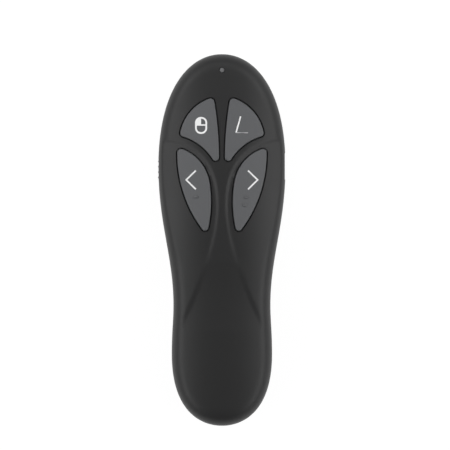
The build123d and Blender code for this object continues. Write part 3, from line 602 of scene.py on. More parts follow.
def build_drift() -> None:
    """Group for colour that drifts a little over the surface."""
    nodes, given, result = new_group(
        Effect.DRIFT,
        (("Place", Socket.PLACE, None), ("Color", Socket.COLOUR, None),
         ("Amount", Socket.NUMBER, 0.08), ("Scale", Socket.NUMBER, 40.0)),
        (("Color", Socket.COLOUR),),
    )
    noise = nodes.add("ShaderNodeTexNoise")
    noise.inputs["Detail"].default_value = 4.0
    nodes.link(given.outputs["Place"], noise.inputs["Vector"])
    nodes.link(given.outputs["Scale"], noise.inputs["Scale"])
    centred = nodes.math("SUBTRACT", noise.outputs[0], 0.5)
    swing = nodes.math("MULTIPLY", centred, given.outputs["Amount"])
    factor = nodes.math("ADD", swing, 1.0)
    scale = nodes.add("ShaderNodeVectorMath", operation="SCALE")
    nodes.link(given.outputs["Color"], scale.inputs[0])
    nodes.link(factor, scale.inputs["Scale"])
    nodes.link(scale.outputs[0], result.inputs["Color"])


def build_scuffs() -> None:
    """Group for faint scuffs: a mask of short fine streaks."""
    nodes, given, result = new_group(
        Effect.SCUFF,
        (("Place", Socket.PLACE, None), ("Scale", Socket.NUMBER, 60.0), ("Amount", Socket.NUMBER, 0.3)),
        (("Mask", Socket.NUMBER),),
    )
    stretch = nodes.add("ShaderNodeMapping")
    stretch.inputs["Rotation"].default_value = (0.2, 0.1, 0.6)
    stretch.inputs["Scale"].default_value = (1.0, 14.0, 3.0)
    nodes.link(given.outputs["Place"], stretch.inputs["Vector"])
    noise = nodes.add("ShaderNodeTexNoise")
    noise.inputs["Detail"].default_value = 6.0
    nodes.link(stretch.outputs[0], noise.inputs["Vector"])
    nodes.link(given.outputs["Scale"], noise.inputs["Scale"])
    streak = nodes.ramp(noise.outputs[0], 0.58, 0.78)
    nodes.link(nodes.math("MULTIPLY", streak, given.outputs["Amount"]), result.inputs["Mask"])


# ---------------------------------------------------------------- finishes
@dataclass(frozen=True)
class Finish:
    """A moulded, painted or metal finish with grain, drift of colour and faint scuffs."""

    name: str
    color: tuple
    roughness: float = 0.5
    spread: float = 0.08
    grain_scale: float = 2500.0
    grain_depth: float = 0.00002
    drift: float = 0.08
    scuff: float = 0.0
    metallic: float = 0.0
    specular: float = 0.5
    coat: float = 0.0
    transmission: float = 0.0

    def build(self) -> bpy.types.Material:
        """Makes the material."""
        material = bpy.data.materials.new(self.name)
        material.use_nodes = True
        nodes = Nodes(material.node_tree)
        shader = material.node_tree.nodes["Principled BSDF"]
        place = nodes.add("ShaderNodeTexCoord").outputs["Object"]
        shader.inputs["Metallic"].default_value = self.metallic
        shader.inputs["Specular IOR Level"].default_value = self.specular
        shader.inputs["Coat Weight"].default_value = self.coat
        shader.inputs["Transmission Weight"].default_value = self.transmission
        grain = self.group(nodes, Effect.GRAIN, place)
        grain.inputs["Scale"].default_value = self.grain_scale
        grain.inputs["Roughness"].default_value = self.roughness
        grain.inputs["Spread"].default_value = self.spread
        colour = self.colour(nodes, place)
        roughness = grain.outputs["Roughness"]
        if self.scuff:
            scuffs = self.group(nodes, Effect.SCUFF, place)
            scuffs.inputs["Amount"].default_value = self.scuff
            roughness = nodes.math("SUBTRACT", roughness, scuffs.outputs["Mask"])
        nodes.link(colour, shader.inputs["Base Color"])
        nodes.link(roughness, shader.inputs["Roughness"])
        bump = nodes.add("ShaderNodeBump")
        bump.inputs["Distance"].default_value = self.grain_depth
        bump.inputs["Strength"].default_value = 1.0
        nodes.link(self.height(nodes, place, grain.outputs["Height"]), bump.inputs["Height"])
        nodes.link(bump.outputs[0], shader.inputs["Normal"])
        return material

    def colour(self, nodes: Nodes, place: bpy.types.NodeSocket) -> bpy.types.NodeSocket:
        """Colour over the surface."""
        drift = self.group(nodes, Effect.DRIFT, place)
        drift.inputs["Color"].default_value = (*self.color, 1.0)
        drift.inputs["Amount"].default_value = self.drift
        return drift.outputs["Color"]

    def height(
        self, nodes: Nodes, place: bpy.types.NodeSocket, grain: bpy.types.NodeSocket
    ) -> bpy.types.NodeSocket:
        """Height over the surface."""
        return grain

    def group(self, nodes: Nodes, effect: Effect, place: bpy.types.NodeSocket) -> bpy.types.Node:
        """Places a shared effect in the material."""
        node = nodes.add("ShaderNodeGroup", node_tree=bpy.data.node_groups[effect.value])
        nodes.link(place, node.inputs["Place"])
        return node


@dataclass(frozen=True)
class SolderMask(Finish):
    """Circuit board: lacquer over copper tracks, with sizes in metres."""

    track_pitch: float = 0.0016
    track_length: float = 5.0
    pitch_per_track: float = 6.0
    track_color: tuple = (0.03, 0.2, 0.08)

    def colour(self, nodes: Nodes, place: bpy.types.NodeSocket) -> bpy.types.NodeSocket:
        """Darker lacquer with paler tracks."""
        base = super().colour(nodes, place)
        mix = nodes.add("ShaderNodeMix", data_type="RGBA")
        mix.inputs["B"].default_value = (*self.track_color, 1.0)
        nodes.link(self.tracks(nodes, place), mix.inputs["Factor"])
        nodes.link(base, mix.inputs["A"])
        return mix.outputs["Result"]

    def height(
        self, nodes: Nodes, place: bpy.types.NodeSocket, grain: bpy.types.NodeSocket
    ) -> bpy.types.NodeSocket:
        """Tracks stand a little proud."""
        return nodes.math("ADD", grain, self.tracks(nodes, place))

    def tracks(self, nodes: Nodes, place: bpy.types.NodeSocket) -> bpy.types.NodeSocket:
        """Mask of the tracks: edges of a brick pattern."""
        brick = nodes.add("ShaderNodeTexBrick")
        brick.inputs["Scale"].default_value = 1.0
        brick.inputs["Brick Width"].default_value = self.track_length * self.track_pitch
        brick.inputs["Row Height"].default_value = self.track_pitch
        brick.inputs["Mortar Size"].default_value = self.track_pitch / self.pitch_per_track
        nodes.link(place, brick.inputs["Vector"])
        return brick.outputs["Fac"]


@dataclass(frozen=True)
class Sleeve(Finish):
    """Jacket of a cell: a dark sleeve with one plain ochre band, placed in metres."""

    band: tuple = (0.42, 0.3, 0.12)
    band_y: float = -0.020
    band_half: float = 0.006

    def colour(self, nodes: Nodes, place: bpy.types.NodeSocket) -> bpy.types.NodeSocket:
        """Sleeve colour with the band."""
        base = super().colour(nodes, place)
        split = nodes.add("ShaderNodeSeparateXYZ")
        nodes.link(place, split.inputs[0])
        away = nodes.math("ABSOLUTE", nodes.math("SUBTRACT", split.outputs["Y"], self.band_y), 0.0)
        mask = nodes.math("LESS_THAN", away, self.band_half)
        mix = nodes.add("ShaderNodeMix", data_type="RGBA")
        mix.inputs["B"].default_value = (*self.band, 1.0)
        nodes.link(mask, mix.inputs["Factor"])
        nodes.link(base, mix.inputs["A"])
        return mix.outputs["Result"]


class Finishes:
    """All finishes by name, built once."""

    def __init__(self) -> None:
        """Builds the shared groups and the materials."""
        for build in (build_grain, build_drift, build_scuffs):
            build()
        table = (
            Finish("soft_touch_black", (0.0200, 0.0200, 0.0203), 0.46, 0.06, 3200, 6e-6, 0.10, 0.03,
                   specular=0.28),
            Finish("key_rubber", (0.101, 0.103, 0.1075), 0.62, 0.06, 3000, 1.5e-5, 0.06, 0.02, specular=0.25),
            Finish("side_rubber", (0.020, 0.020, 0.020), 0.60, 0.06, 3000, 2e-5, 0.08, specular=0.3),
            Finish("mark_white", (0.80, 0.80, 0.80), 0.55, 0.05, 4000, 4e-6, 0.03, specular=0.3),
            Finish("mark_pale", (0.36, 0.36, 0.37), 0.55, 0.05, 4000, 4e-6, 0.03, specular=0.3),
            Finish("frosted_light", (0.17, 0.17, 0.175), 0.35, 0.05, 4000, 3e-6, 0.05, transmission=0.25),
            SolderMask("solder_mask", (0.012, 0.10, 0.04), 0.35, 0.08, 1500, 2e-5, 0.10),
            Finish("switch_plastic", (0.03, 0.03, 0.032), 0.5, 0.08, 2000, 1.5e-5, 0.10, 0.03),
            Finish("plunger_plastic", (0.28, 0.28, 0.30), 0.45, 0.06, 2000, 1e-5, 0.06),
            Finish("chip_epoxy", (0.018, 0.018, 0.020), 0.55, 0.10, 4200, 2e-5, 0.12),
            Finish("tinned_steel", (0.62, 0.61, 0.58), 0.34, 0.16, 1800, 6e-6, 0.06, 0.1, metallic=1.0),
            Finish("ceramic", (0.72, 0.70, 0.64), 0.4, 0.06, 2600, 8e-6, 0.06),
            Finish("turned_brass", (0.66, 0.46, 0.18), 0.28, 0.12, 1500, 6e-6, 0.08, 0.1, metallic=1.0),
            Finish("clear_lens", (0.92, 0.93, 0.95), 0.03, 0.01, 2000, 1e-6, 0.02, transmission=1.0),
            Finish("tinted_window", (0.05, 0.006, 0.008), 0.08, 0.03, 2000, 1e-6, 0.05, 0.02, coat=0.5),
            Sleeve("cell_sleeve", (0.035, 0.038, 0.045), 0.3, 0.06, 900, 6e-6, 0.08, 0.06, coat=0.3),
            Finish("nickel_spring", (0.66, 0.65, 0.62), 0.24, 0.10, 2500, 5e-6, 0.05, 0.1, metallic=1.0),
            Finish("spark_black", (0.022, 0.022, 0.023), 0.6, 0.08, 1600, 4e-5, 0.08, 0.03, specular=0.4),
            Finish("plug_steel", (0.68, 0.68, 0.68), 0.22, 0.12, 1600, 4e-6, 0.04, 0.14, metallic=1.0),
            Finish("black_oxide", (0.035, 0.034, 0.036), 0.38, 0.12, 1800, 1e-5, 0.12, 0.08, metallic=0.8),
        )
        self.made = {finish.name: finish.build() for finish in table}

    def dress(self, piece: bpy.types.Object, name: str) -> None:
        """Puts one finish on a whole piece."""
        piece.data.materials.clear()
        piece.data.materials.append(self.made[name])


# ---------------------------------------------------------------- moulded top cover
@dataclass
class TopCover:
    """Moulded skin of the top cover, with the crease and the openings, in millimetres.

    The crown runs into the upright side over a band that is blend times as wide as the edge's radius.
    The side controls are given as y, half length and half height, and the window as height and radius.
    """

    form: CaseForm = FORM
    spacing: float = 0.62
    outline_steps: int = 70
    search_steps: int = 500
    wall: float = 1.7
    key_gap: float = 0.30
    rim_round: float = 0.22
    light_y: float = 59.3
    light_hole: float = 0.8
    joint_bevel: float = 0.16
    fillet_steps: int = 14
    light_steps: int = 24
    window_steps: int = 40
    blend: float = 1.25
    blend_power: float = 2.8
    control_height: float = 11.15
    side_key: tuple = (24.65, 3.4, 1.95)
    slide: tuple = (25.75, 3.85, 1.65)
    recess: tuple = (25.75, 4.65, 3.5)
    recess_depth: float = 0.25
    cut_depth: float = 4.0
    cut_reach: float = 2.0
    window: tuple = (9.6, 2.75)
    window_depth: float = 3.0
    shade_angle: float = 38.0
    relief: Relief = field(default_factory=lambda: Relief(FORM))

    def surface(self, flat: np.ndarray) -> np.ndarray:
        """Height of the outer skin at places inside the outline.

        Args:
            flat: Array of x, y.

        Returns:
            Heights in millimetres.
        """
        form = self.form
        dense = form.outline(self.search_steps)
        normals = loop_normals(dense)
        index, distance = nearest(flat, dense)
        centre = dense + normals * form.edge_round
        base = form.top_line.crown(centre[:, 0], centre[:, 1], form.crown_radius, form.edge_round)
        rim = form.top_line.crown(dense[:, 0], dense[:, 1], form.crown_radius)
        near = 0.01
        inward = dense + normals * near
        drop = (form.top_line.crown(inward[:, 0], inward[:, 1], form.crown_radius) - rim) / near
        reach = self.blend * form.edge_round * (1 - np.sin(np.arctan(np.clip(drop, 0, None))))
        inner = np.clip(1 - distance / reach[index], 0, 1) ** self.blend_power
        crown = form.top_line.crown(flat[:, 0], flat[:, 1], form.crown_radius)
        height = crown - (rim - base)[index] * (1 - np.sqrt(1 - inner))
        return self.relief.lower(flat[:, 0], flat[:, 1], height)

    def build(self, finishes: Finishes) -> bpy.types.Object:
        """Builds the skin, cuts its side openings and lets it stand for the CAD node.

        Args:
            finishes: The finishes.

        Returns:
            The skin.
        """
        form = self.form
        outline = form.outline(self.outline_steps)
        normals = loop_normals(outline)
        angles = np.radians(np.linspace(0, 90, self.fillet_steps + 1))
        insets = form.edge_round * (1 - np.cos(angles))
        rings = [outline + normals * inset for inset in insets[1:-2]]
        holes, shoulders = [], []
        for face in (UPPER_KEY, LEAF_KEY):
            for side in (1, -1):
                mirror = np.array([side, 1])
                holes.append(face.loop(self.key_gap) * mirror)
                shoulders.append(face.loop(self.key_gap + self.rim_round) * mirror)
        circle = unit_circle(self.light_steps)
        holes.append(circle * self.light_hole + (0, self.light_y))
        shoulders.append(circle * (self.light_hole + self.rim_round / 2) + (0, self.light_y))
        flat, faces = triangulate([outline, *holes], self.spacing, rings + shoulders)
        height = self.surface(flat)
        for hole in holes:
            index, distance = nearest(flat, hole)
            sunk = np.clip(1 - distance / self.rim_round, 0, 1)
            height -= (1 - np.sqrt(np.clip(1 - sunk**2, 0, 1))) * self.rim_round
        points = np.column_stack([flat, height])
        first = len(points)
        rim = nearest(outline, flat)[0]
        bevel = self.joint_bevel
        low = np.column_stack([outline, np.full(len(outline), form.part_height + bevel)])
        foot = np.column_stack([outline + normals * bevel, np.full(len(outline), form.part_height)])
        points = np.vstack([points, low, foot])
        count = len(outline)
        for i in range(count):
            j = (i + 1) % count
            faces.append((rim[i], rim[j], first + j, first + i))
            faces.append((first + i, first + j, first + count + j, first + count + i))
        skin = new_object("top_cover_skin", points, faces)
        self.face_up(skin)
        thick = skin.modifiers.new("wall", "SOLIDIFY")
        thick.thickness = self.wall * MM
        thick.offset = -1.0
        apply_modifiers(skin)
        for cutter in self.cutters():
            subtract(skin, cutter)
        shade(skin, self.shade_angle)
        finishes.dress(skin, "soft_touch_black")
        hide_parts("top_cover")
        return skin

    def face_up(self, skin: bpy.types.Object) -> None:
        """Makes all faces look outwards."""
        mesh = bmesh.new()
        mesh.from_mesh(skin.data)
        bmesh.ops.recalc_face_normals(mesh, faces=mesh.faces)
        top = max(mesh.faces, key=lambda face: face.calc_center_median().z)
        if top.normal.z < 0:
            bmesh.ops.reverse_faces(mesh, faces=mesh.faces)
        mesh.to_mesh(skin.data)
        mesh.free()

    def cutters(self) -> list:
        """Boxes and a rod that open the skin for the side controls and the laser."""
        half = self.form.head_half
        result = []
        for name, side, (y, reach, rise), depth in (
            ("side_key_cut", -1, self.side_key, self.cut_depth),
            ("slide_cut", 1, self.slide, self.cut_depth),
            ("recess_cut", 1, self.recess, self.recess_depth),
        ):
            near, far = side * (half - depth), side * (half + self.cut_reach)
            low = (min(near, far), y - reach, self.control_height - rise)
            high = (max(near, far), y + reach, self.control_height + rise)
            result.append(box_object(name, low, high))
        height, radius = self.window
        ring = unit_circle(self.window_steps) * radius + (0, height)
        nose = self.form.length / 2
        points = [(x, y, z) for y in (nose - self.window_depth, nose + self.cut_reach) for x, z in ring]
        result.append(plain_object("window_cut", points, prism_faces(len(ring))))
        return result


def plain_object(name: str, points: list, faces: list) -> bpy.types.Object:
    """Helper solid in millimetres that isn't part of the object."""
    mesh = bpy.data.meshes.new(name)
    mesh.from_pydata((np.asarray(points, float) * MM).tolist(), [], faces)
    face_outwards(mesh)
    piece = bpy.data.objects.new(name, mesh)
    bpy.context.scene.collection.objects.link(piece)
    return piece


def subtract(piece: bpy.types.Object, cutter: bpy.types.Object) -> None:
    """Takes a helper solid out of a piece and removes the helper."""
    cut = piece.modifiers.new(cutter.name, "BOOLEAN")
    cut.operation = "DIFFERENCE"
    cut.solver = "EXACT"
    cut.object = cutter
    apply_modifiers(piece)
    bpy.data.objects.remove(cutter)


def prism_faces(count: int) -> list:
    """Faces of a prism whose points are its two ends in turn, with count points each."""
    faces = [tuple(range(count)), tuple(range(2 * count - 1, count - 1, -1))]
    return faces + [(i, i + count, (i + 1) % count + count, (i + 1) % count) for i in range(count)]


def prism_object(name: str, loop: np.ndarray, low: float, high: float) -> bpy.types.Object:
    """Helper prism over a closed loop between two heights in millimetres."""
    points = [(x, y, z) for z in (low, high) for x, y in loop]
    return plain_object(name, points, prism_faces(len(loop)))


def box_object(name: str, low: tuple, high: tuple) -> bpy.types.Object:
    """Helper box between two corners in millimetres."""
    points = [(x, y, z) for x in (low[0], high[0]) for y in (low[1], high[1]) for z in (low[2], high[2])]
    faces = [(0, 1, 3, 2), (4, 6, 7, 5), (0, 4, 5, 1), (2, 3, 7, 6), (0, 2, 6, 4), (1, 5, 7, 3)]
    return plain_object(name, points, faces)


# ---------------------------------------------------------------- keys and their marks
class Probe:
    """Finds the top of a CAD node by looking down on it."""

    start: float = 0.1  # height in metres that is above every node

    def __init__(self, node: str) -> None:
        """Keeps a search tree of the node's faces."""
        graph = bpy.context.evaluated_depsgraph_get()
        self.tree = BVHTree.FromObject(NODES[node], graph)

    def height(self, x: float, y: float) -> float:
        """Height of the node's top at a place, in millimetres."""
        hit = self.tree.ray_cast(Vector((x * MM, y * MM, self.start)), Vector((0, 0, -1)))
        return hit[0].z / MM


def raised_patch(
    name: str, probe: Probe, body: str, loops: list, lift: float, sink: float, spacing: float
) -> bpy.types.Object:
    """Thin raised patch that follows the top of a CAD node.

    Args:
        name: Name of the piece.
        probe: Finds the top of the CAD node that carries it.
        body: Body that it rides on.
        loops: Closed loops of the patch, in millimetres.
        lift: Height above the node.
        sink: Depth into the node.
        spacing: Distance between its inner points.

    Returns:
        The patch.
    """
    flat, faces = triangulate(loops, spacing)
    heights = np.array([probe.height(x, y) for x, y in flat])
    count = len(flat)
    top = np.column_stack([flat, heights + lift])
    bottom = np.column_stack([flat, heights - sink])
    edges: dict = {}
    for face in faces:
        for a, b in zip(face, face[1:] + face[:1]):
            key = (min(a, b), max(a, b))
            edges[key] = None if key in edges else (a, b)
    walls = [(b, a, a + count, b + count) for a, b in filter(None, edges.values())]
    under = [tuple(i + count for i in reversed(face)) for face in faces]
    return new_object(name, np.vstack([top, bottom]), faces + under + walls, body)


def stroke(points: tuple | np.ndarray, width: float, closed: bool = False) -> list:
    """Outline of a line drawn with a flat nib of constant width.

    Args:
        points: Corners of the line.
        width: Width of the line.
        closed: Whether the line closes on itself.

    Returns:
        One loop, or two where the line is closed.
    """
    line = np.array(points, float)
    count = len(line)
    sides = []
    for side in (1, -1):
        edge = []
        for i in range(count):
            before = line[i] - line[i - 1] if (i or closed) else line[1] - line[0]
            after = line[(i + 1) % count] - line[i] if (i < count - 1 or closed) else line[-1] - line[-2]
            before, after = before / np.linalg.norm(before), after / np.linalg.norm(after)
            normal = np.array([-(before + after)[1], (before + after)[0]])
            normal /= np.linalg.norm(normal)
            reach = width / 2 / max(LEAST_MITRE, abs(normal @ np.array([-after[1], after[0]])))
            edge.append(line[i] + side * normal * reach)
        sides.append(np.array(edge))
    if closed:
        return sides
    return [np.vstack([sides[0], sides[1][::-1]])]


def rounded_box(centre: tuple, half: tuple, radius: float, steps: int = 10) -> np.ndarray:
    """Closed loop of a rectangle with round corners."""
    points = []
    for sx, sy, start in ((1, 1, 0), (-1, 1, 90), (-1, -1, 180), (1, -1, 270)):
        for k in range(steps + 1):
            a = math.radians(start + 90 * k / steps)
            points.append((centre[0] + sx * (half[0] - radius) + radius * math.cos(a),
                           centre[1] + sy * (half[1] - radius) + radius * math.sin(a)))
    return np.array(points)


@dataclass
class KeyPad:
    """Four thumb keys with their printed marks and raised dots, in millimetres."""

    line_width: float = 0.62
    chevron_width: float = 0.54
    bar_share: float = 0.8
    level_share: float = 0.55
    lift: float = 0.035
    sink: float = 0.03
    chevron: tuple = ((9.1, 24.2), (12.45, 20.95), (9.1, 17.65))
    angle: tuple = ((6.53, 43.09), (4.92, 37.42), (9.12, 37.38))
    mouse_centre: tuple = (-7.26, 39.94)
    mouse_half: tuple = (1.80, 2.65)
    mouse_round: float = 1.70
    mouse_bar: float = 0.15
    dots: tuple = (("page_back", -8.97, 14.98), ("page_forward", 8.46, 14.80), ("page_forward", 7.93, 12.11))
    dot_half: tuple = (0.92, 0.5)
    dot_rise: float = 0.45
    dot_rings: int = 6
    dot_turns: int = 20
    dot_shade: float = 60.0
    dot_weld: float = 1e-7
    faces: tuple = (("page_forward", LEAF_KEY, 1), ("page_back", LEAF_KEY, -1),
                    ("pointer", UPPER_KEY, 1), ("mouse", UPPER_KEY, -1))
    trim_depth: float = 1.4
    trim_reach: float = 0.6
    trim_step: float = 0.15
    trim_past: float = 1.5
    mark_spacing: float = 0.5
    shade_angle: float = 30.0
    weld: float = 2e-6
    probes: dict = field(default_factory=dict)

    def build(self, finishes: Finishes) -> None:
        """Dresses the keys and adds marks and dots."""
        self.probes = {key: Probe(f"key_{key}") for key, _, _ in self.faces}
        for key, face, side in self.faces:
            self.cap(finishes, key, face, side)
            for name, finish in ((f"switch_{key}", "switch_plastic"), (f"plunger_{key}", "plunger_plastic")):
                shade(NODES[name], self.shade_angle)
                finishes.dress(NODES[name], finish)
        for side, key in ((1, "page_forward"), (-1, "page_back")):
            points = tuple((side * x, y) for x, y in self.chevron)
            self.mark(finishes, f"arrow_{key}", key, stroke(points, self.chevron_width), "mark_white")
        steep = stroke(self.angle[:2], self.line_width * self.bar_share)
        level = stroke(self.angle[1:], self.line_width * self.level_share)
        self.mark(finishes, "angle_steep", "pointer", steep, "mark_white")
        self.mark(finishes, "angle_level", "pointer", level, "mark_pale")
        self.mouse(finishes)
        for index, (key, x, y) in enumerate(self.dots):
            self.dot(finishes, f"touch_dot_{index + 1}", key, x, y)
        log.info("key pad: %d keys, marks and %d dots", len(self.faces), len(self.dots))

    def cap(self, finishes: Finishes, key: str, face: KeyFace, side: int) -> None:
        """Makes a copy of a key with softer corners and lets it stand for the CAD node.

        Args:
            finishes: The finishes.
            key: Name of the key.
            face: Outline of the right-hand key.
            side: 1 for the right-hand key, -1 for its mirror image.
        """
        node = f"key_{key}"
        mesh = NODES[node].data.copy()
        piece = bpy.data.objects.new(f"{node}_cap", mesh)
        bpy.context.scene.collection.objects.link(piece)
        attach(piece, f"{key}_key")
        face_outwards(piece.data, self.weld)
        for index, (middle, arrive, leave) in enumerate(face.corner_arcs()):
            if middle is None:
                continue
            arc = np.vstack([turned_arc(middle, arrive, leave, self.trim_step), [leave]])
            ways = [(p, p - middle) for p in (leave, arrive)]
            pushed = [p + way / np.linalg.norm(way) * self.trim_reach for p, way in ways]
            far = middle + (np.array(face.corners[index]) - middle) * self.trim_past
            loop = np.vstack([arc, [pushed[0], far, pushed[1]]]) * (side, 1)
            top = self.probes[key].height(side * middle[0], middle[1])
            cutter = prism_object(f"{node}_trim_{index}", loop, top - self.trim_depth, top + self.trim_depth)
            subtract(piece, cutter)
        shade(piece, self.shade_angle)
        finishes.dress(piece, "key_rubber")
        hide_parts(node)

    def mark(self, finishes: Finishes, name: str, key: str, loops: list, finish: str) -> None:
        """Adds one printed mark to a key.

        Args:
            finishes: The finishes.
            name: Name of the piece.
            key: Key that carries the mark.
            loops: Closed loops of the mark.
            finish: Name of its finish.
        """
        piece = raised_patch(name, self.probes[key], f"{key}_key", loops, self.lift, self.sink,
                             self.mark_spacing)
        finishes.dress(piece, finish)

    def mouse(self, finishes: Finishes) -> None:
        """Adds the computer-mouse mark: a round frame, a bar across it and one filled button."""
        x, y = self.mouse_centre
        half_x, half_y = self.mouse_half
        width = self.line_width
        border = stroke(rounded_box((x, y), (half_x, half_y), self.mouse_round), width, True)
        self.mark(finishes, "mouse_frame", "mouse", border, "mark_white")
        bar_y, bar_width = y + self.mouse_bar, width * self.bar_share
        inner, top = half_x - width / 2, half_y - width / 2
        bar = stroke(((x - inner, bar_y), (x + inner, bar_y)), bar_width)
        self.mark(finishes, "mouse_bar", "mouse", bar, "mark_white")
        low = bar_y + bar_width / 2
        inside_border = rounded_box((x, y), (inner, top), self.mouse_round - width / 2)
        corner = [(px, py) for px, py in inside_border if px <= x and py >= low]
        button = np.array([(x, low), (x, y + top), *corner, (x - inner, low)])
        self.mark(finishes, "mouse_button", "mouse", [button], "mark_white")

    def dot(self, finishes: Finishes, name: str, key: str, x: float, y: float) -> None:
        """Adds one raised oval dot that a thumb can feel.

        Args:
            finishes: The finishes.
            name: Name of the piece.
            key: Key that carries the dot.
            x: Middle of the dot across the case.
            y: Middle of the dot along the case.
        """
        probe = self.probes[key]
        rings, turns = self.dot_rings, self.dot_turns
        points, faces = [], []
        for r in range(rings + 1):
            lean = math.pi / 2 * r / rings
            for t in range(turns):
                a = 2 * math.pi * t / turns
                px = x + self.dot_half[0] * math.cos(lean) * math.cos(a)
                py = y + self.dot_half[1] * math.cos(lean) * math.sin(a)
                points.append((px, py, probe.height(px, py) - self.sink + self.dot_rise * math.sin(lean)))
        for r in range(rings):
            for t in range(turns):
                a, b = r * turns + t, r * turns + (t + 1) % turns
                faces.append((a, b, b + turns, a + turns))
        faces.append(tuple(range(turns - 1, -1, -1)))
        piece = new_object(name, np.array(points), faces, f"{key}_key")
        face_outwards(piece.data, self.dot_weld)
        shade(piece, self.dot_shade)
        finishes.dress(piece, "key_rubber")


# ---------------------------------------------------------------- the other sub-assemblies
@dataclass
class Dressed:
    """A group of CAD nodes that keep their shape and get finishes."""

    name: str
    finishes_by_node: dict
    angle: float = 30.0

    def build(self, finishes: Finishes) -> None:
        """Shades and dresses every node of the group."""
        for node, finish in self.finishes_by_node.items():
            shade(NODES[node], self.angle)
            finishes.dress(NODES[node], finish)
        log.info("%s: %d pieces", self.name, len(self.finishes_by_node))


@dataclass
class CaseScrews:
    """Four pan-head screws with cross recesses and threads, in millimetres, in the CAD node's places."""

    places: tuple = ((9.5, 53.5), (-9.5, 53.5), (16.6, 12.0), (-16.6, 12.0))
    seat: float = 7.4
    head_radius: float = 2.0
    head_height: float = 1.6
    head_flat: float = 0.5
    head_steps: tuple = ((0.12, 0.2), (0.0, 0.55))
    shank_radius: float = 0.9
    length: float = 8.0
    pitch: float = 0.8
    thread_start: float = 0.2
    thread_depth: float = 0.18
    tip: float = 0.7
    bare_length: float = 1.0
    recess_reach: float = 1.1
    recess_width: float = 0.4
    recess_depth: float = 0.9
    turns: int = 28
    shade_angle: float = 35.0
    weld: float = 1e-6

    def profile(self) -> list:
        """Radius and height along one screw, from the head's face to the tip."""
        low, root = self.seat - self.head_height, self.shank_radius - self.thread_depth
        points = [(0.0, low), (self.head_radius - self.head_flat, low)]
        points += [(self.head_radius - inset, low + rise) for inset, rise in self.head_steps]
        points += [(self.head_radius, self.seat), (self.shank_radius, self.seat)]
        for k in range(int((self.length - self.bare_length) / self.pitch)):
            z = self.seat + self.thread_start + k * self.pitch
            points += [(root, z), (self.shank_radius, z + self.pitch / 2)]
        return points + [(root, self.seat + self.length - self.tip), (0.0, self.seat + self.length)]

    def build(self, finishes: Finishes) -> None:
        """Turns the profile, cuts the cross and lets the screws stand for the CAD node."""
        points, faces = [], []
        line = self.profile()
        for cx, cy in self.places:
            first = len(points)
            for radius, z in line:
                for t in range(self.turns):
                    a = 2 * math.pi * t / self.turns
                    points.append((cx + radius * math.cos(a), cy + radius * math.sin(a), z))
            for k in range(len(line) - 1):
                for t in range(self.turns):
                    a = first + k * self.turns + t
                    b = first + k * self.turns + (t + 1) % self.turns
                    faces.append((a, b, b + self.turns, a + self.turns))
        screws = new_object("case_screw_set", np.array(points), faces)
        face_outwards(screws.data, self.weld)
        for index, (cx, cy) in enumerate(self.places):
            for along in (0, 1):
                reach = (self.recess_reach, self.recess_width / 2)
                half_x, half_y = reach if along else reach[::-1]
                low = self.seat - self.head_height
                cutter = box_object(f"cross_{index}_{along}", (cx - half_x, cy - half_y, low - 1),
                                    (cx + half_x, cy + half_y, low + self.recess_depth))
                subtract(screws, cutter)
        shade(screws, self.shade_angle)
        finishes.dress(screws, "black_oxide")
        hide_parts("case_screws")
        log.info("case screws: %d", len(self.places))


# ---------------------------------------------------------------- studio
@dataclass(frozen=True)
class Lamp:
    """A soft rectangular lamp, in metres."""

    name: str
    place: tuple
    size: tuple
    power: float
    target: tuple = (0.0, 0.0, 0.01)

    def build(self) -> None:
        """Makes the lamp and points it at its target."""
        data = bpy.data.lights.new(self.name, "AREA")
        data.shape = "RECTANGLE"
        data.size, data.size_y = self.size
        data.energy = self.power
        lamp = bpy.data.objects.new(self.name, data)
        lamp.location = self.place
        way = Vector(self.target) - Vector(self.place)
        lamp.rotation_euler = way.to_track_quat("-Z", "Y").to_euler()
        lamp.visible_camera = False
        bpy.context.scene.collection.objects.link(lamp)


